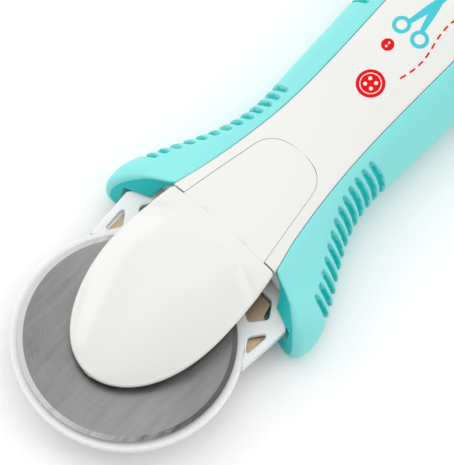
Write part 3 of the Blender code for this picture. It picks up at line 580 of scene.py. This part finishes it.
def flank_curve(x, side_inset, face_inset, start_y, end_y):
    """One side of the section as a function of u: 0 at the panel, 1 at the widest line, 2 underneath."""
    half = smooth(HALF_WIDTH, x) - side_inset
    wide_z = smooth(WIDEST_Z, x)
    top = (start_y, panel_z(x, start_y, face_inset))
    wide = (half, wide_z)
    low = (max(smooth(BOTTOM_HALF_WIDTH, x) - side_inset, end_y + 0.4), bottom_z(x) + face_inset)
    reach = smooth(FLANK_FULLNESS, x)
    run = 0.5 * (half - start_y)
    upper = (top, (top[0] + run, top[1] - smooth(FLANK_SLOPE, x) * run),
             (half, wide_z + reach * (top[1] - wide_z)), wide)
    tuck = 0.55
    lower = (wide, (half, wide_z - tuck * (wide_z - low[1])), (low[0] + tuck * (half - low[0]), low[1]), low)
    return lambda u: bezier(*upper, u) if u < 1 else bezier(*lower, u - 1)


def crossing(curve, z):
    """The u at which a flank curve comes down to the height z."""
    low, high = 0.0, 2.0
    for _ in range(40):
        middle = (low + high) / 2
        if curve(middle)[1] > z:
            low = middle
        else:
            high = middle
    return low


# Grips

UPPER_US = [i / 30 for i in range(31)]
LOWER_US = [1 + i / 14 for i in range(1, 15)]
GRIP_US = [0.0] * 5 + UPPER_US[2:] + LOWER_US + [2.0] * 7


def corner_arc(corner, along, rising):
    """Points from the seam wall over a rounded corner to the face. along is the face's height beside it."""
    y0, z0 = corner
    sign = 1 if rising else -1
    points = []
    wall_z = z0 - sign * SEAM_ROUNDING
    for sin, cos in turns(0, 22, 45, 68, 90):
        points.append((y0 + SEAM_ROUNDING * (1 - cos), wall_z + (along - wall_z) * sin))
    return points


def grip_edges(x):
    """Where a grip's section starts at the panel and ends underneath."""
    return smooth(PANEL_HALF_WIDTH, x) + SEAM / 2, smooth(UNDER_PANEL_HALF_WIDTH, x) + SEAM / 2


def grip_outer(x):
    """The grip's outer section at x from the panel's seam to the underside's seam, as (y, z)."""
    top_edge, low_edge = grip_edges(x)
    curve = flank_curve(x, 0, 0, top_edge, low_edge)
    top = curve(0)
    beside = curve(1 / 30)
    points = corner_arc(top, mix(top[1], beside[1], 0.6), True)
    points += [curve(u) for u in UPPER_US[2:] + LOWER_US]
    low = curve(2)
    points += [(mix(low[0], low_edge, 0.3), low[1]), (mix(low[0], low_edge, 0.7), low[1])]
    points += corner_arc((low_edge, low[1]), low[1], False)[::-1]
    return points


def grip_inner(x):
    """The grip's inner section, point for point beside the outer one."""
    inset = smooth(FLANK_INSET, x) - GAP
    top_edge, low_edge = grip_edges(x)
    curve = flank_curve(x, inset, GRIP_THICKNESS - GAP, top_edge, low_edge)
    points = []
    for i, u in enumerate(GRIP_US):
        y, z = curve(min(u, 2.0))
        if u == 0.0:
            y += 0.02 * i
        past = i - (len(GRIP_US) - 7)
        if past >= 0:
            y = mix(y, low_edge, (past + 1) / 7)
        points.append((y, z))
    return points


def front_x(y, z):
    """Where the grips' front lies. It is raked in plan and leans back with height."""
    for (low, shift), (high, next_shift) in zip(FRONT_LEAN, FRONT_LEAN[1:]):
        if z < high:
            break
    lean = mix(shift, next_shift, (z - low) / (high - low))
    return smooth(FRONT_LINE, y) + lean


def section_normals(points):
    """Outward normals of an open section that runs from its top over its outside to its underside."""
    normals = []
    for i in range(len(points)):
        a = points[max(i - 1, 0)]
        b = points[min(i + 1, len(points) - 1)]
        dy, dz = b[0] - a[0], b[1] - a[1]
        length = math.hypot(dy, dz) or 1.0
        normals.append((-dz / length, dy / length))
    return normals


def groove_depth(x, y, u):
    """How far the grip's surface sinks at a point. The grooves run over the shoulder and down the side."""
    if not GROOVES_X[0] < x < GROOVES_X[1] or u > 1.9:
        return 0.0
    inner_end = smooth(HALF_WIDTH, x) - smooth(GROOVE_REACH, x)
    depth = 0.0
    for centre, size in GROOVES:
        if abs(x - centre) > 1.4:
            continue
        lean = 0.35 * ramp(0.5, 1.2, u)
        half = GROOVE_HALF_WIDTH * size * mix(0.85, 1.15, ramp(inner_end, inner_end + 3, y))
        across = abs(x - centre + lean - 0.15)
        along = inner_end + half - y if u < 1 else -1.0
        distance = math.hypot(across, max(along, 0.0))
        fade = 1 - ramp(1.4, 1.8, u)
        depth = max(depth, GROOVE_DEPTH * size * (1 - ramp(half - 0.25, half + 0.22, distance)) * fade)
    return depth


def grip_sections():
    """Stations along x behind the raked front, close together where the grooves are."""
    xs = spread(FRONT_BACK_X, 62.0, 0.16)
    xs += spread(62.5, 85.0, 1.0) + spread(85.3, 108.0, 0.18) + spread(109.0, 140.0, 1.0)
    knee = HANDLE_END_X - END_ROUNDING
    xs += spread(knee + 0.7, GRIP_END_X - GAP - 0.9, 0.7)
    return xs


def sunk(section, depths):
    """The section moved inwards, by a depth for each of its points."""
    normals = section_normals(section)
    return [(y - ny * depth, z - nz * depth) for (y, z), (ny, nz), depth in zip(section, normals, depths)]


def meet_front(x, section, j, rounds):
    """The x at which point j of the sections meets the grips' front, found from a first guess."""
    for _ in range(rounds):
        x = mix(x, front_x(*section(x)[j]), 0.5)
    return x


def grip_mesh(side):
    """A grip as a sheet folded round its front and rear: outside rows and inside rows of the same length."""
    columns = len(GRIP_US)
    radii = [smooth(FRONT_ROUNDING, u) for u in GRIP_US]
    fronts = [meet_front(27.0, grip_outer, j, 30) for j in range(columns)]
    outside, inside = [], []

    def inner_row(amount):
        xs = [mix(meet_front(28.0, grip_inner, j, 12), FRONT_BACK_X, amount) for j in range(columns)]
        return [(x, *grip_inner(x)[j]) for j, x in enumerate(xs)]

    for k, (sin, cos) in enumerate(turns(90, 72, 54, 36, 18)):
        ring = []
        for j in range(columns):
            x = fronts[j] + radii[j] * (1 - sin)
            outer = grip_outer(x)
            ny, nz = section_normals(outer)[j]
            sink = radii[j] * (1 - cos)
            y, z = outer[j][0] - ny * sink, outer[j][1] - nz * sink
            ring.append((x + (front_x(y, z) - fronts[j]) * sin**2, y, z))
        outside.append(ring)
        inside.append(inner_row(0.01 * k))
    for t in [k / 13 for k in range(13)]:
        xs = [mix(front + radius, FRONT_BACK_X, t) for front, radius in zip(fronts, radii)]
        outside.append([(x, *grip_outer(x)[j]) for j, x in enumerate(xs)])
        inside.append(inner_row(mix(0.06, 1, t)))
    for x in grip_sections():
        outer = grip_outer(x)
        depths = [groove_depth(x, y, u) for (y, _), u in zip(outer, GRIP_US)]
        outside.append(shrink(sunk(outer, depths), x))
        inside.append(shrink(grip_inner(x), x))
    for sin, cos in turns(0, 30, 60, 90):
        x = GRIP_END_X - GAP - REAR_EDGE_ROUNDING * (1 - sin)
        depths = [REAR_EDGE_ROUNDING * (1 - cos)] * columns
        outside.append(shrink(sunk(grip_outer(x), depths), x))
        inside.append(shrink(grip_inner(x), x))
    rings = [[(x, y * side, z) for x, y, z in outer + inner[::-1]] for outer, inner in zip(outside, inside)]

    def shade(corner, column):
        """1, a darker mint as painted shade, on the front and in the grooves, and 0 elsewhere."""
        x, y, _ = corner
        if column is None:
            return 1 if x < 40 else 0
        if column >= columns:
            return 0
        return 1 if groove_depth(x, abs(y), GRIP_US[column]) > 0.55 * GROOVE_DEPTH else 0

    return sleeve("grip_blank", rings, shade)


def mouth_cutter():
    """The space that the guard's arms slide into, open to the front."""
    side = ((8, 23.5), (30, 23.4), (32, 22.6), (35, 20.4), (38, 19.2), (MOUTH_END_X, 18.9))
    outline = list(side) + [(x, -y) for x, y in reversed(side)]
    rings = [[(x, y, z) for x, y in outline] for z in MOUTH_Z]
    return loft("mouth_cutter", rings)


def make_grips():
    for name, side in (("grip_left", 1), ("grip_right", -1)):
        blank = grip_mesh(side)
        for material in (MINT_PLASTIC, MINT_PAINTED_SHADE):
            blank.materials.append(material)
        mesh = cut(blank, [mouth_cutter()])
        add_piece(name + "_soft", mesh, [MINT_PLASTIC, MINT_PAINTED_SHADE], "handle", [name])


# Hard shells


def half_path(x, upper, side_inset, panel_inset, face_inset, band_inset, cut_z, round_edge):
    """From the centre line of the panel over its edge and along the side to the height cut_z."""
    top_edge = smooth(PANEL_HALF_WIDTH, x) - band_inset
    low_edge = smooth(UNDER_PANEL_HALF_WIDTH, x) - band_inset
    curve = flank_curve(x, side_inset, face_inset, top_edge, low_edge)
    cut_u = crossing(curve, cut_z)
    r = round_edge
    quarter = turns(22, 45, 67, 90)
    if upper:
        flat = [(top_edge - r) * k / 10 for k in range(11)]
        path = [(y, panel_z(x, y, panel_inset)) for y in flat]
        corner = panel_z(x, top_edge, panel_inset)
        path += [(top_edge - r * (1 - sin), corner - r * (1 - cos) + 0.001) for sin, cos in quarter]
        return path + [curve(cut_u * i / 24) for i in range(25)]
    floor = bottom_z(x) + min(panel_inset, SHELL_WALL)
    path = [((low_edge - r) * k / 10, floor) for k in range(11)]
    path += [(low_edge - r * (1 - sin), floor + r * (1 - cos)) for sin, cos in quarter]
    return path + [curve(2 + (cut_u - 2) * i / 20) for i in range(21)]


def shell_ring(x, upper, cut_z, rear_inset):
    """A shell's whole section at x: its outside from side to side, then its inside back again."""
    cut_here = middle_z(x) + (cut_z - middle_z(x)) / flattening(x)
    inset = smooth(FLANK_INSET, x)
    if x > GRIP_END_X + GAP * 0.75:
        outer = half_path(x, upper, rear_inset, 0, rear_inset, SEAM / 2, cut_here, 0.02)
    else:
        outer = half_path(x, upper, inset, 0, GRIP_THICKNESS, SEAM / 2, cut_here, SEAM_ROUNDING)
    wall = mix(SHELL_WALL, PANEL_WALL_AT_COVER, 1 - ramp(56, 62, x))
    depth = GRIP_THICKNESS + SHELL_WALL
    inner = half_path(x, upper, inset + SHELL_WALL, wall, depth, SHELL_WALL + GAP, cut_here, SEAM_ROUNDING)
    outline = [(-y, z) for y, z in outer[:0:-1]] + outer
    hollow = [(y, z) for y, z in inner[::-1]] + [(-y, z) for y, z in inner[1:]]
    if x > HOLLOW_END_X:
        end = outline[-1][0]
        last = len(hollow) + 1
        hollow = [(end * (1 - 2 * (i + 1) / last), cut_here) for i in range(len(hollow))]
    return shrink(outline + hollow, x)


def shell_mesh(name, start_x, upper):
    """A shell from its front to the handle's rounded end, with a small step where the grips end."""
    knee = HANDLE_END_X - END_ROUNDING
    end = HANDLE_END_X - END_FLAT
    xs = spread(start_x, MOUTH_END_X, 0.8) + spread(MOUTH_END_X + 0.3, HOLLOW_END_X, 1.0)
    xs += spread(HOLLOW_END_X + 0.3, GRIP_END_X + GAP / 2, 0.6)
    stations = [(x, 0.0) for x in xs]
    rear = GRIP_END_X + GAP
    for sin, cos in turns(0, 30, 60, 90):
        stations.append((rear + REAR_EDGE_ROUNDING * (1 - cos), REAR_EDGE_ROUNDING * (1 - sin)))
    angles = [math.degrees(math.asin((rear + 0.6 - knee) / END_ROUNDING))]
    while angles[-1] < 78:
        angles.append(angles[-1] + 2.5)
    stations += [(knee + END_ROUNDING * sin, 0.0) for sin, _ in turns(*angles[1:])]
    stations.append((end, 0.0))
    rings = []
    for x, rear_inset in stations:
        height = PARTING_Z + GAP / 2 if upper else PARTING_Z - GAP / 2
        if not upper and x <= MOUTH_END_X:
            height = LOWER_LIP_Z
        rings.append(shell_ring(x, upper, height, rear_inset))
    return sleeve(name, rings)


# Cover

COVER_FRONT_X = -12.0
COVER_DOME_X = 12.0
COVER_HALF_WIDTH = 15.6
COVER_SHOULDER_X = 28.4
COVER_TAIL_X = 51.7
COVER_TAIL_THICKNESS = 2.1
COVER_TAIL_ROUNDING = 5.0
COVER_RIM_Z = 10.6
COVER_CORNER_RADIUS = 0.6
COVER_EDGE_Z = ((-12, 12.2), (-5, 12.4), (3, 13.9), (9, 15.2), (15, 16.1), (28.4, 16.6))
COVER_CREST_Z = ((-12, 12.4), (-8, 14.0), (-2, 15.7), (6, 17.4), (14, 18.7), (24, 19.6), (30, 20.0))
# The fold behind the dome: where it lies on the centre line, how it curves, and how far it blends and dips
FOLD_X = 23.3
FOLD_CURVE = 0.0155
FOLD_LENGTH = 5.0
FOLD_DIP = 0.3


def cover_half_width(x):
    """Half width of the cover: an elliptical front, nearly straight sides and a narrower, rounded tail."""
    if x < COVER_DOME_X:
        reach = COVER_DOME_X - COVER_FRONT_X
        return COVER_HALF_WIDTH * math.sqrt(max(1 - ((COVER_DOME_X - x) / reach) ** 2, 0.0))
    if x < COVER_SHOULDER_X:
        return COVER_HALF_WIDTH - 1.1 * ((x - COVER_DOME_X) / 14) ** 2
    width = 11.2 - 3.2 * (x - COVER_SHOULDER_X) / 19.0
    round_start = COVER_TAIL_X - COVER_TAIL_ROUNDING
    if x > round_start:
        width *= math.sqrt(max(1 - ((x - round_start) / COVER_TAIL_ROUNDING) ** 2, 0.0)) ** 0.7
    return width


def cover_top(x, y):
    """Height of the cover's upper face: a dome that ends in a curved fold, with a shallow rest behind it."""
    width = cover_half_width(min(x, COVER_SHOULDER_X - 0.1))
    share = min(abs(y) / max(width, 0.01), 1.0)
    edge = smooth(COVER_EDGE_Z, x)
    crest = max(smooth(COVER_CREST_Z, x), edge + 0.1)
    dome = edge - 0.25 + (crest - edge + 0.25) * (1 - share**2.2)
    rest = panel_z(x, y)
    behind = x - (FOLD_X - FOLD_CURVE * y * y)
    if behind <= -0.6:
        return dome
    t = min(max(behind / FOLD_LENGTH, 0.0), 1.0)
    share_rest = 1 - (1 - t) ** 2.2
    soft = ramp(-0.6, 0.9, behind)
    dip = FOLD_DIP * math.exp(-((behind - 1.9) / 1.2) ** 2) * soft
    return mix(dome, rest, share_rest * mix(0.7, 1, soft)) - dip


def cover_ring(x):
    """Half sections of the cover at x: the outside from its rim over the top, and the underside."""
    tail = x >= COVER_SHOULDER_X
    width = cover_half_width(x)
    edge_round = min(0.3 if tail else 0.75, width * 0.45)
    top_z = panel_z if tail else cover_top
    shoulder = width - edge_round
    half = []
    count = 26
    for k in range(count + 1):
        y = shoulder * math.sin(math.pi / 2 * k / count) ** 0.9
        half.append((y, top_z(x, y)))
    start = half[-1][1]
    for sin, cos in turns(18, 36, 54, 72, 90):
        half.append((shoulder + edge_round * sin, start - edge_round * (1 - cos)))
    if tail:
        low = panel_z(x, 0) - COVER_TAIL_THICKNESS
        half += [(width, mix(half[-1][1], low, k / 3)) for k in (1, 2, 3)]
        under = [(width * k / 4, low) for k in (3, 2, 1, 0)]
    else:
        rim = half[-1][1]
        low = min(COVER_RIM_Z, rim - 0.5)
        tuck = min(1.3, width * 0.4)
        half.append((width - 0.08, rim - 0.35))
        half.append((width - tuck * 0.6, mix(rim, low, 0.7)))
        half.append((width - tuck, low))
        hollow = max(width - tuck - 1.4, 0.1 * width)
        roof = max(top_z(x, 0) - 2.0, low + 0.3)
        under = [(hollow, low + 0.05), (hollow * 0.92, mix(low, roof, 0.6)), (hollow * 0.5, roof), (0, roof)]
    return half, under


def cover_mesh():
    """The cover, from the tip of its dome to the end of its tail."""
    knee = COVER_DOME_X - COVER_FRONT_X
    xs = [COVER_DOME_X - knee * cos for _, cos in turns(*np.linspace(3, 90, 56))]
    xs += spread(COVER_DOME_X + 0.5, 18.0, 0.5) + spread(18.25, COVER_SHOULDER_X - 0.7, 0.25)
    rings = [cover_closed(x) for x in xs]
    for sin, cos in turns(30, 60, 90):
        rings.append(cover_closed(COVER_SHOULDER_X - COVER_CORNER_RADIUS * (1 - sin),
                                  COVER_CORNER_RADIUS * (1 - cos)))
    round_start = COVER_TAIL_X - COVER_TAIL_ROUNDING
    tail_xs = spread(COVER_SHOULDER_X + 0.02, round_start, 0.8)
    tail_xs += [round_start + COVER_TAIL_ROUNDING * sin for sin, _ in turns(*np.linspace(6, 86, 20))]
    return loft("cover_blank", rings + [cover_closed(x) for x in tail_xs])


def cover_closed(x, side_inset=0.0):
    """The cover's whole section at x, with its sides drawn in at the shoulder's rounded corner."""
    half, under = cover_ring(x)
    if side_inset:
        width = cover_half_width(x)
        half = [(y * (width - side_inset) / width, z) for y, z in half]
    path = half + under
    left = [(-y, z) for y, z in path[-2:0:-1]]
    return [(x, y, z) for y, z in path + left]


def cover_seat():
    """The recess in the upper shell that the cover's tail lies in."""
    rings = []
    round_start = COVER_TAIL_X - COVER_TAIL_ROUNDING
    xs = spread(UPPER_START_X - 1, round_start, 1.0)
    for sin, _ in turns(10, 20, 30, 40, 50, 60, 68, 76, 82):
        xs.append(round_start + COVER_TAIL_ROUNDING * sin)
    for x in xs:
        width = cover_half_width(max(x, COVER_SHOULDER_X + 0.01)) + SEAM / 2
        floor = panel_z(x, 0) - COVER_TAIL_THICKNESS - GAP
        shift = SEAM / 2 if x > 50 else 0.0
        corners = ((width, floor), (width, 26), (-width, 26), (-width, floor))
        rings.append([(x + shift, y, z) for y, z in corners])
    return loft("cover_seat", rings)


def make_cover():
    """The cover, with its underside in a tan that is painted shade under the dome."""
    mesh = cover_mesh()
    for face in mesh.polygons:
        if face.normal.z < -0.85:
            face.material_index = 1
    finishes = [COVER_PLASTIC, TAN_PAINTED_SHADE]
    add_piece("head_cover_dome", mesh, finishes, "handle", ["head_cover"], 50)


def make_shells():
    upper = cut(shell_mesh("upper_blank", UPPER_START_X, True), [cover_seat()])
    add_piece("upper_shell_panel", upper, [WHITE_PLASTIC], "handle", ["upper_shell"])
    cutters = []
    bores = [(x, y, 2.6) for x, y in SHELL_SCREWS] + [(x, 0, 1.9) for x in ARM_SCREWS_X]
    for x, y, top in bores:
        outline = circle(x, y, SCREW_HEAD_BORE, 48)
        cutters.append(loft("bore", [[(px, py, z) for px, py in outline] for z in (-1, top)]))
    cutters.append(box("recess", (69.4, 82.6), (-4.3, 6.8), (-1, 2.0)))
    cutters.append(box("slot", (73.7, 78.3), (-2.3, 4.8), (-1, 6)))
    lower = cut(shell_mesh("lower_blank", LOWER_START_X, False), cutters)
    add_piece("lower_shell_base", lower, [WHITE_PLASTIC], "handle", ["lower_shell"])


# Blade, guard and the small parts


def make_blade():
    low, high = BLADE_Z - BLADE_HALF_THICKNESS, BLADE_Z + BLADE_HALF_THICKNESS
    flat = BLADE_RADIUS - BLADE_BEVEL_WIDTH
    bore = BLADE_BORE_RADIUS
    profile = [(bore + BORE_CHAMFER, high), (flat, high), (BLADE_RADIUS, BLADE_Z + BLADE_EDGE),
               (BLADE_RADIUS, BLADE_Z - BLADE_EDGE), (flat, low), (bore + BORE_CHAMFER, low),
               (bore, low + BORE_CHAMFER), (bore, high - BORE_CHAMFER)]
    mesh = turned("round_blade", profile, 288)
    piece = add_piece("round_blade", mesh, [BLADE_FLAT, BLADE_BEVEL], "blade", ["blade"], 4)
    for face in piece.data.polygons:
        middle = face.center
        if math.hypot(middle.x - AXIS_X, middle.y) > flat * MM:
            face.material_index = 1


def mirrored(outline, side):
    return [(x, y * side) for x, y in outline]


def make_guard():
    """The guard: a disc with a slot for the hub, two windowed arms, and a tail with the lock's track."""
    join = math.degrees(math.acos(GUARD_JOIN_X / GUARD_RADIUS))
    half = [(11.2, 21.4), (23.4, 22.4), (25.6, 20.7), (27.3, 19.6), (32.5, 18.2), (33.5, 17.0), (33.5, 5.8)]
    tail = [(43.0, 5.8), (44.5, 3.0), (64.5, 3.0), (66.0, 5.8), (84.2, 5.8), (86.0, 4.0)]
    upper = half + tail
    outline = arc(0, 0, GUARD_RADIUS, join, 360 - join, 221) + [(x, -y) for x, y in upper] + upper[::-1]
    hub_slot = arc(0.2, 0, 6.1, -90, 90, 33) + arc(-7.2, 0, 6.1, 90, 270, 33)
    outer_window = rounded_corner([(17.2, 17.6), (20.2, 19.8), (19.6, 20.4), (14.6, 20.0), (14.5, 19.5)], 0.8)
    inner_window = rounded_corner([(19.5, 15.4), (22.9, 18.2), (26.4, 15.9), (26.8, 11.6), (22.2, 11.2)], 0.8)
    windows = [mirrored(window, side) for side in (1, -1) for window in (outer_window, inner_window)]
    track = [(67.2, -1.8), (77.8, -1.8), (77.8, 4.3), (74.2, 4.3),
             (74.2, 1.8), (70.8, 1.8), (70.8, 4.3), (67.2, 4.3)]
    mesh = plate("guard_plate", [outline, hub_slot, track] + windows, GUARD_Z, 0.3)
    added = [box("seat", (40.2, 42.0), (-2.5, 2.5), (7.4, 12.6))]
    for side in (1, -1):
        rail = [(11.5, 20.4), (23.3, 21.2), (24.6, 20.1), (26.0, 20.3), (23.3, 22.2), (11.7, 21.3)]
        added.append(plate("rail", [mirrored(rail, side)], RAIL_Z, 0.25))
    mesh = cut(mesh, added, "UNION")
    add_piece("blade_guard_plate", mesh, [GUARD_PLASTIC], "guard", ["blade_guard"])


def make_knob():
    """The scalloped knob under the blade, with a hexagonal pocket for the bolt's head."""
    outline = []
    steps = 240
    for i in range(steps):
        angle = 2 * math.pi * i / steps
        scallop = KNOB_SCALLOP_DEPTH * max(math.cos(KNOB_SCALLOPS * angle), 0.0) ** 1.5
        radius = KNOB_RADIUS - scallop
        outline.append((radius * math.cos(angle), radius * math.sin(angle)))
    pocket = rounded_corner(circle(0, 0, HEX_RADIUS, 6), 0.5)
    mesh = plate("thumb_knob", [outline, pocket], KNOB_Z, 0.45)
    add_piece("thumb_knob", mesh, [MINT_PLASTIC], "axle_bolt", ["bolt_knob"])


def drape(bm, rows, closed, lift):
    """Adds a thin printed patch to the panel, from rows of (x, y) points, all of the same length."""
    count = len(rows[0])
    layers = []
    for height in (lift, -0.02):
        layers.append([[bm.verts.new(place(x, y, panel_z(x, y) + height)) for x, y in row] for row in rows])
    top, low = layers
    spans = range(count if closed else count - 1)
    for a in range(len(rows) - 1):
        for i in spans:
            j = (i + 1) % count
            bm.faces.new((top[a][i], top[a][j], top[a + 1][j], top[a + 1][i]))
            bm.faces.new((low[a][i], low[a + 1][i], low[a + 1][j], low[a][j]))
    for a in (0, len(rows) - 1):
        for i in spans:
            j = (i + 1) % count
            bm.faces.new((top[a][i], low[a][i], low[a][j], top[a][j]))
    if not closed:
        for i in (0, count - 1):
            for a in range(len(rows) - 1):
                bm.faces.new((top[a][i], top[a + 1][i], low[a + 1][i], low[a][i]))


def ring(cx, cy, inner, outer, steps=48):
    """A closed patch: circles from its inner to its outer radius."""
    count = max(int((outer - inner) / 0.4), 1)
    return [circle(cx, cy, mix(inner, outer, k / count), steps) for k in range(count + 1)], True


def stroke(points, widths):
    """An open patch along a line of points: two edges and a middle. widths are its half widths."""
    rows = ([], [], [])
    for i, (x, y) in enumerate(points):
        a = points[max(i - 1, 0)]
        b = points[min(i + 1, len(points) - 1)]
        length = math.hypot(b[0] - a[0], b[1] - a[1])
        nx, ny = -(b[1] - a[1]) / length, (b[0] - a[0]) / length
        for row, share in zip(rows, (-1, 0, 1)):
            row.append((x + nx * widths[i] * share, y + ny * widths[i] * share))
    return rows, False


def make_print(name, material, patches, lift=0.03):
    """One printed colour: its patches, each as rows and whether they close."""
    bm = bmesh.new()
    for rows, closed in patches:
        drape(bm, rows, closed, lift)
    add_piece(name, to_mesh(name, bm), [material], "handle")


# The print, as (x, y) on the panel
BIG_BUTTON = (72.7, -0.5)
SMALL_BUTTON = (81.4, 2.6)
STITCH_START = (77.6, -4.3)
STITCHES = 11
STITCH_PITCH = 2.3
STITCH_LENGTH = 1.4
SCISSORS_Y = 0.9
SCISSORS_RING_X = 86.6
SCISSORS_ARM_X = 88.2
SCISSORS_ARM_LENGTH = 14.3


def make_motif():
    """A small print on the panel: two buttons, scissors and a line of stitches."""
    red = [ring(*BIG_BUTTON, 0.05, 3.1), ring(*SMALL_BUTTON, 0.05, 1.4)]
    for i in range(STITCHES):
        dash = []
        for k in range(5):
            along = STITCH_PITCH * i + STITCH_LENGTH * k / 4
            wave = 0.8 * math.sin(along / 3.2)
            dash.append((STITCH_START[0] + along, STITCH_START[1] - wave - 0.03 * along))
        red.append(stroke(dash, [0.2] * 5))
    make_print("print_red_buttons", RED_INK, red)
    x, y = BIG_BUTTON
    holes = [ring(x + dx, y + dy, 0.02, 0.42, 20) for dx in (-0.8, 0.8) for dy in (-0.8, 0.8)]
    holes.append(ring(x, y, 2.15, 2.35))
    x, y = SMALL_BUTTON
    holes += [ring(x + dx, y, 0.02, 0.26, 16) for dx in (-0.45, 0.45)]
    make_print("print_button_holes", WHITE_PLASTIC, holes, 0.055)
    teal = []
    steps = [k / 14 for k in range(15)]
    widths = [0.5 + 0.35 * math.sin(math.pi * min(t * 1.2, 1)) - 0.45 * t**4 for t in steps]
    for side in (1, -1):
        teal.append(ring(SCISSORS_RING_X, SCISSORS_Y + 2.5 * side, 1.15, 2.0))
        ys = [SCISSORS_Y + side * (1.7 - 3.5 * t + 0.5 * t * t) for t in steps]
        line = [(SCISSORS_ARM_X + SCISSORS_ARM_LENGTH * t, y) for t, y in zip(steps, ys)]
        teal.append(stroke(line, widths))
    make_print("print_scissors", TEAL_INK, teal)


# Studio and camera

FLOOR_DROP = 0.02


def make_floor():
    """A pale floor just under the part, so that the two don't share a plane."""
    bm = bmesh.new()
    bmesh.ops.create_grid(bm, x_segments=1, y_segments=1, size=3.0)
    bmesh.ops.translate(bm, verts=bm.verts, vec=(0, 0, -FLOOR_DROP * MM))
    mesh = bpy.data.meshes.new("floor")
    bm.to_mesh(mesh)
    bm.free()
    nodes = Nodes("pale_floor", (0.97, 0.97, 0.97), 0.6)
    tone = nodes.noise(120.0, 2.0)
    nodes.paint(nodes.colours(tone, (0.965, 0.967, 0.97), (0.975, 0.975, 0.975)))
    mesh.materials.append(nodes.material)
    add_object("floor", mesh)


CAMERA_ELEVATION = 68.66
CAMERA_ROLL = 4.87
CAMERA_DISTANCE = 700.0
SENSOR_WIDTH = 36.0
LENS = 265.742
# How far the camera aims to the right of the blade's centre and above it, across its own view
AIM_RIGHT = 20.281
AIM_UP = 21.254


def camera_axes(roll):
    """The camera's right, up and backward directions."""
    a, e, r = (math.radians(v) for v in (CAMERA_TURN, CAMERA_ELEVATION, roll))
    right = Vector((math.cos(a), -math.sin(a), 0))
    ground_up = Vector((math.sin(a), math.cos(a), 0))
    back = ground_up * -math.cos(e) + Vector((0, 0, math.sin(e)))
    up = ground_up * math.sin(e) + Vector((0, 0, math.cos(e)))
    return right * math.cos(r) + up * math.sin(r), up * math.cos(r) - right * math.sin(r), back


def make_camera():
    right, up, back = camera_axes(CAMERA_ROLL)
    aim = Vector(place(0, 0, BLADE_Z)) + (right * AIM_RIGHT + up * AIM_UP) * MM
    spot = aim + back * CAMERA_DISTANCE * MM
    data = bpy.data.cameras.new("camera")
    data.sensor_width = SENSOR_WIDTH
    data.lens = LENS
    data.clip_start = 0.01
    camera = add_object("camera", data)
    rows = [[right[i], up[i], back[i], spot[i]] for i in range(3)]
    camera.matrix_world = Matrix(rows + [[0, 0, 0, 1]])
    bpy.context.scene.camera = camera


# Name, direction as shares of the view's right, away from the camera and up, distance, size and power
LIGHTS = (
    ("key", (-0.1, 0.5, 1.2), 1.0, (0.8, 0.8), 1.3),
    ("side", (-0.7, 0.36, 0.6), 1.0, (0.8, 0.36), 1.5),
    ("fill", (0.9, 0.2, 0.8), 1.1, (0.8, 0.8), 1.6),
)
LIGHTS_CENTRE_X = -0.02


def in_view(across, away, height):
    """A direction from its shares along the view's right, away from the camera and up."""
    right, _, _ = camera_axes(0)
    return (right * across + Vector((-right.y, right.x, 0)) * away + Vector((0, 0, height))).normalized()


def area_light(name, direction, distance, size, power):
    """A soft rectangular light that faces the object."""
    aim = in_view(*direction)
    data = bpy.data.lights.new(name, "AREA")
    data.shape = "RECTANGLE"
    data.size, data.size_y = size
    data.energy = power
    light = add_object(name, data)
    light.location = aim * distance + Vector((LIGHTS_CENTRE_X, 0, 0))
    light.rotation_euler = aim.to_track_quat("Z", "Y").to_euler()


def make_studio():
    """A white surrounding that is brighter above and behind the object, and the lights."""
    world = bpy.data.worlds.new("studio")
    world.use_nodes = True
    tree = world.node_tree
    background = tree.nodes["Background"]
    background.inputs["Color"].default_value = (1.0, 1.0, 1.0, 1)
    direction = tree.nodes.new("ShaderNodeTexCoord")
    facing = tree.nodes.new("ShaderNodeVectorMath")
    facing.operation = "DOT_PRODUCT"
    facing.inputs[1].default_value = in_view(0.05, 0.6, 0.8)
    tree.links.new(direction.outputs["Generated"], facing.inputs[0])
    level = tree.nodes.new("ShaderNodeMapRange")
    for socket, value in (("From Min", -0.5), ("From Max", 0.7), ("To Min", 0.55), ("To Max", 0.93)):
        level.inputs[socket].default_value = value
    tree.links.new(facing.outputs["Value"], level.inputs["Value"])
    tree.links.new(level.outputs["Result"], background.inputs["Strength"])
    bpy.context.scene.world = world
    for light in LIGHTS:
        area_light(*light)
    bpy.context.scene.view_settings.view_transform = "Standard"


# Material and edge radius of the CAD nodes that are shown as they are. The spring's wire has no edges.
FINISHES = {
    "blade_arm": (TAN_STEEL_PAINTED_SHADE, 0.3), "hub_bush": (GUARD_PLASTIC, 0.12), "blade_washer": (PLATED, 0.12),
    "spring_washer": (PLATED, 0.04), "axle_bolt": (PLATED, 0.12), "cover_insert": (BRASS, 0.12),
    "guard_spring": (PLATED, 0), "lock_clip": (GUARD_PLASTIC, 0.12), "lock_detent_spring": (PLATED, 0.08),
    "lock_button": (MINT_PLASTIC, 0.25),
}
SCREW_EDGE = 0.08


def dress_cad_nodes():
    """Materials and rounded edges of the CAD nodes. The replaced ones are hidden and stay plain."""
    for name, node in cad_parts.items():
        material, radius = FINISHES.get(name, (PLATED, SCREW_EDGE if "screw" in name else 0))
        node.data.materials.clear()
        node.data.materials.append(material)
        if radius:
            bevel = node.modifiers.new("edges", "BEVEL")
            bevel.width = radius * MM
            bevel.segments = 3
            bevel.limit_method = "ANGLE"
            bevel.angle_limit = math.radians(40)


make_floor()
make_camera()
make_studio()
dress_cad_nodes()
make_shells()
make_grips()
make_cover()
make_blade()
make_guard()
make_knob()
make_motif()
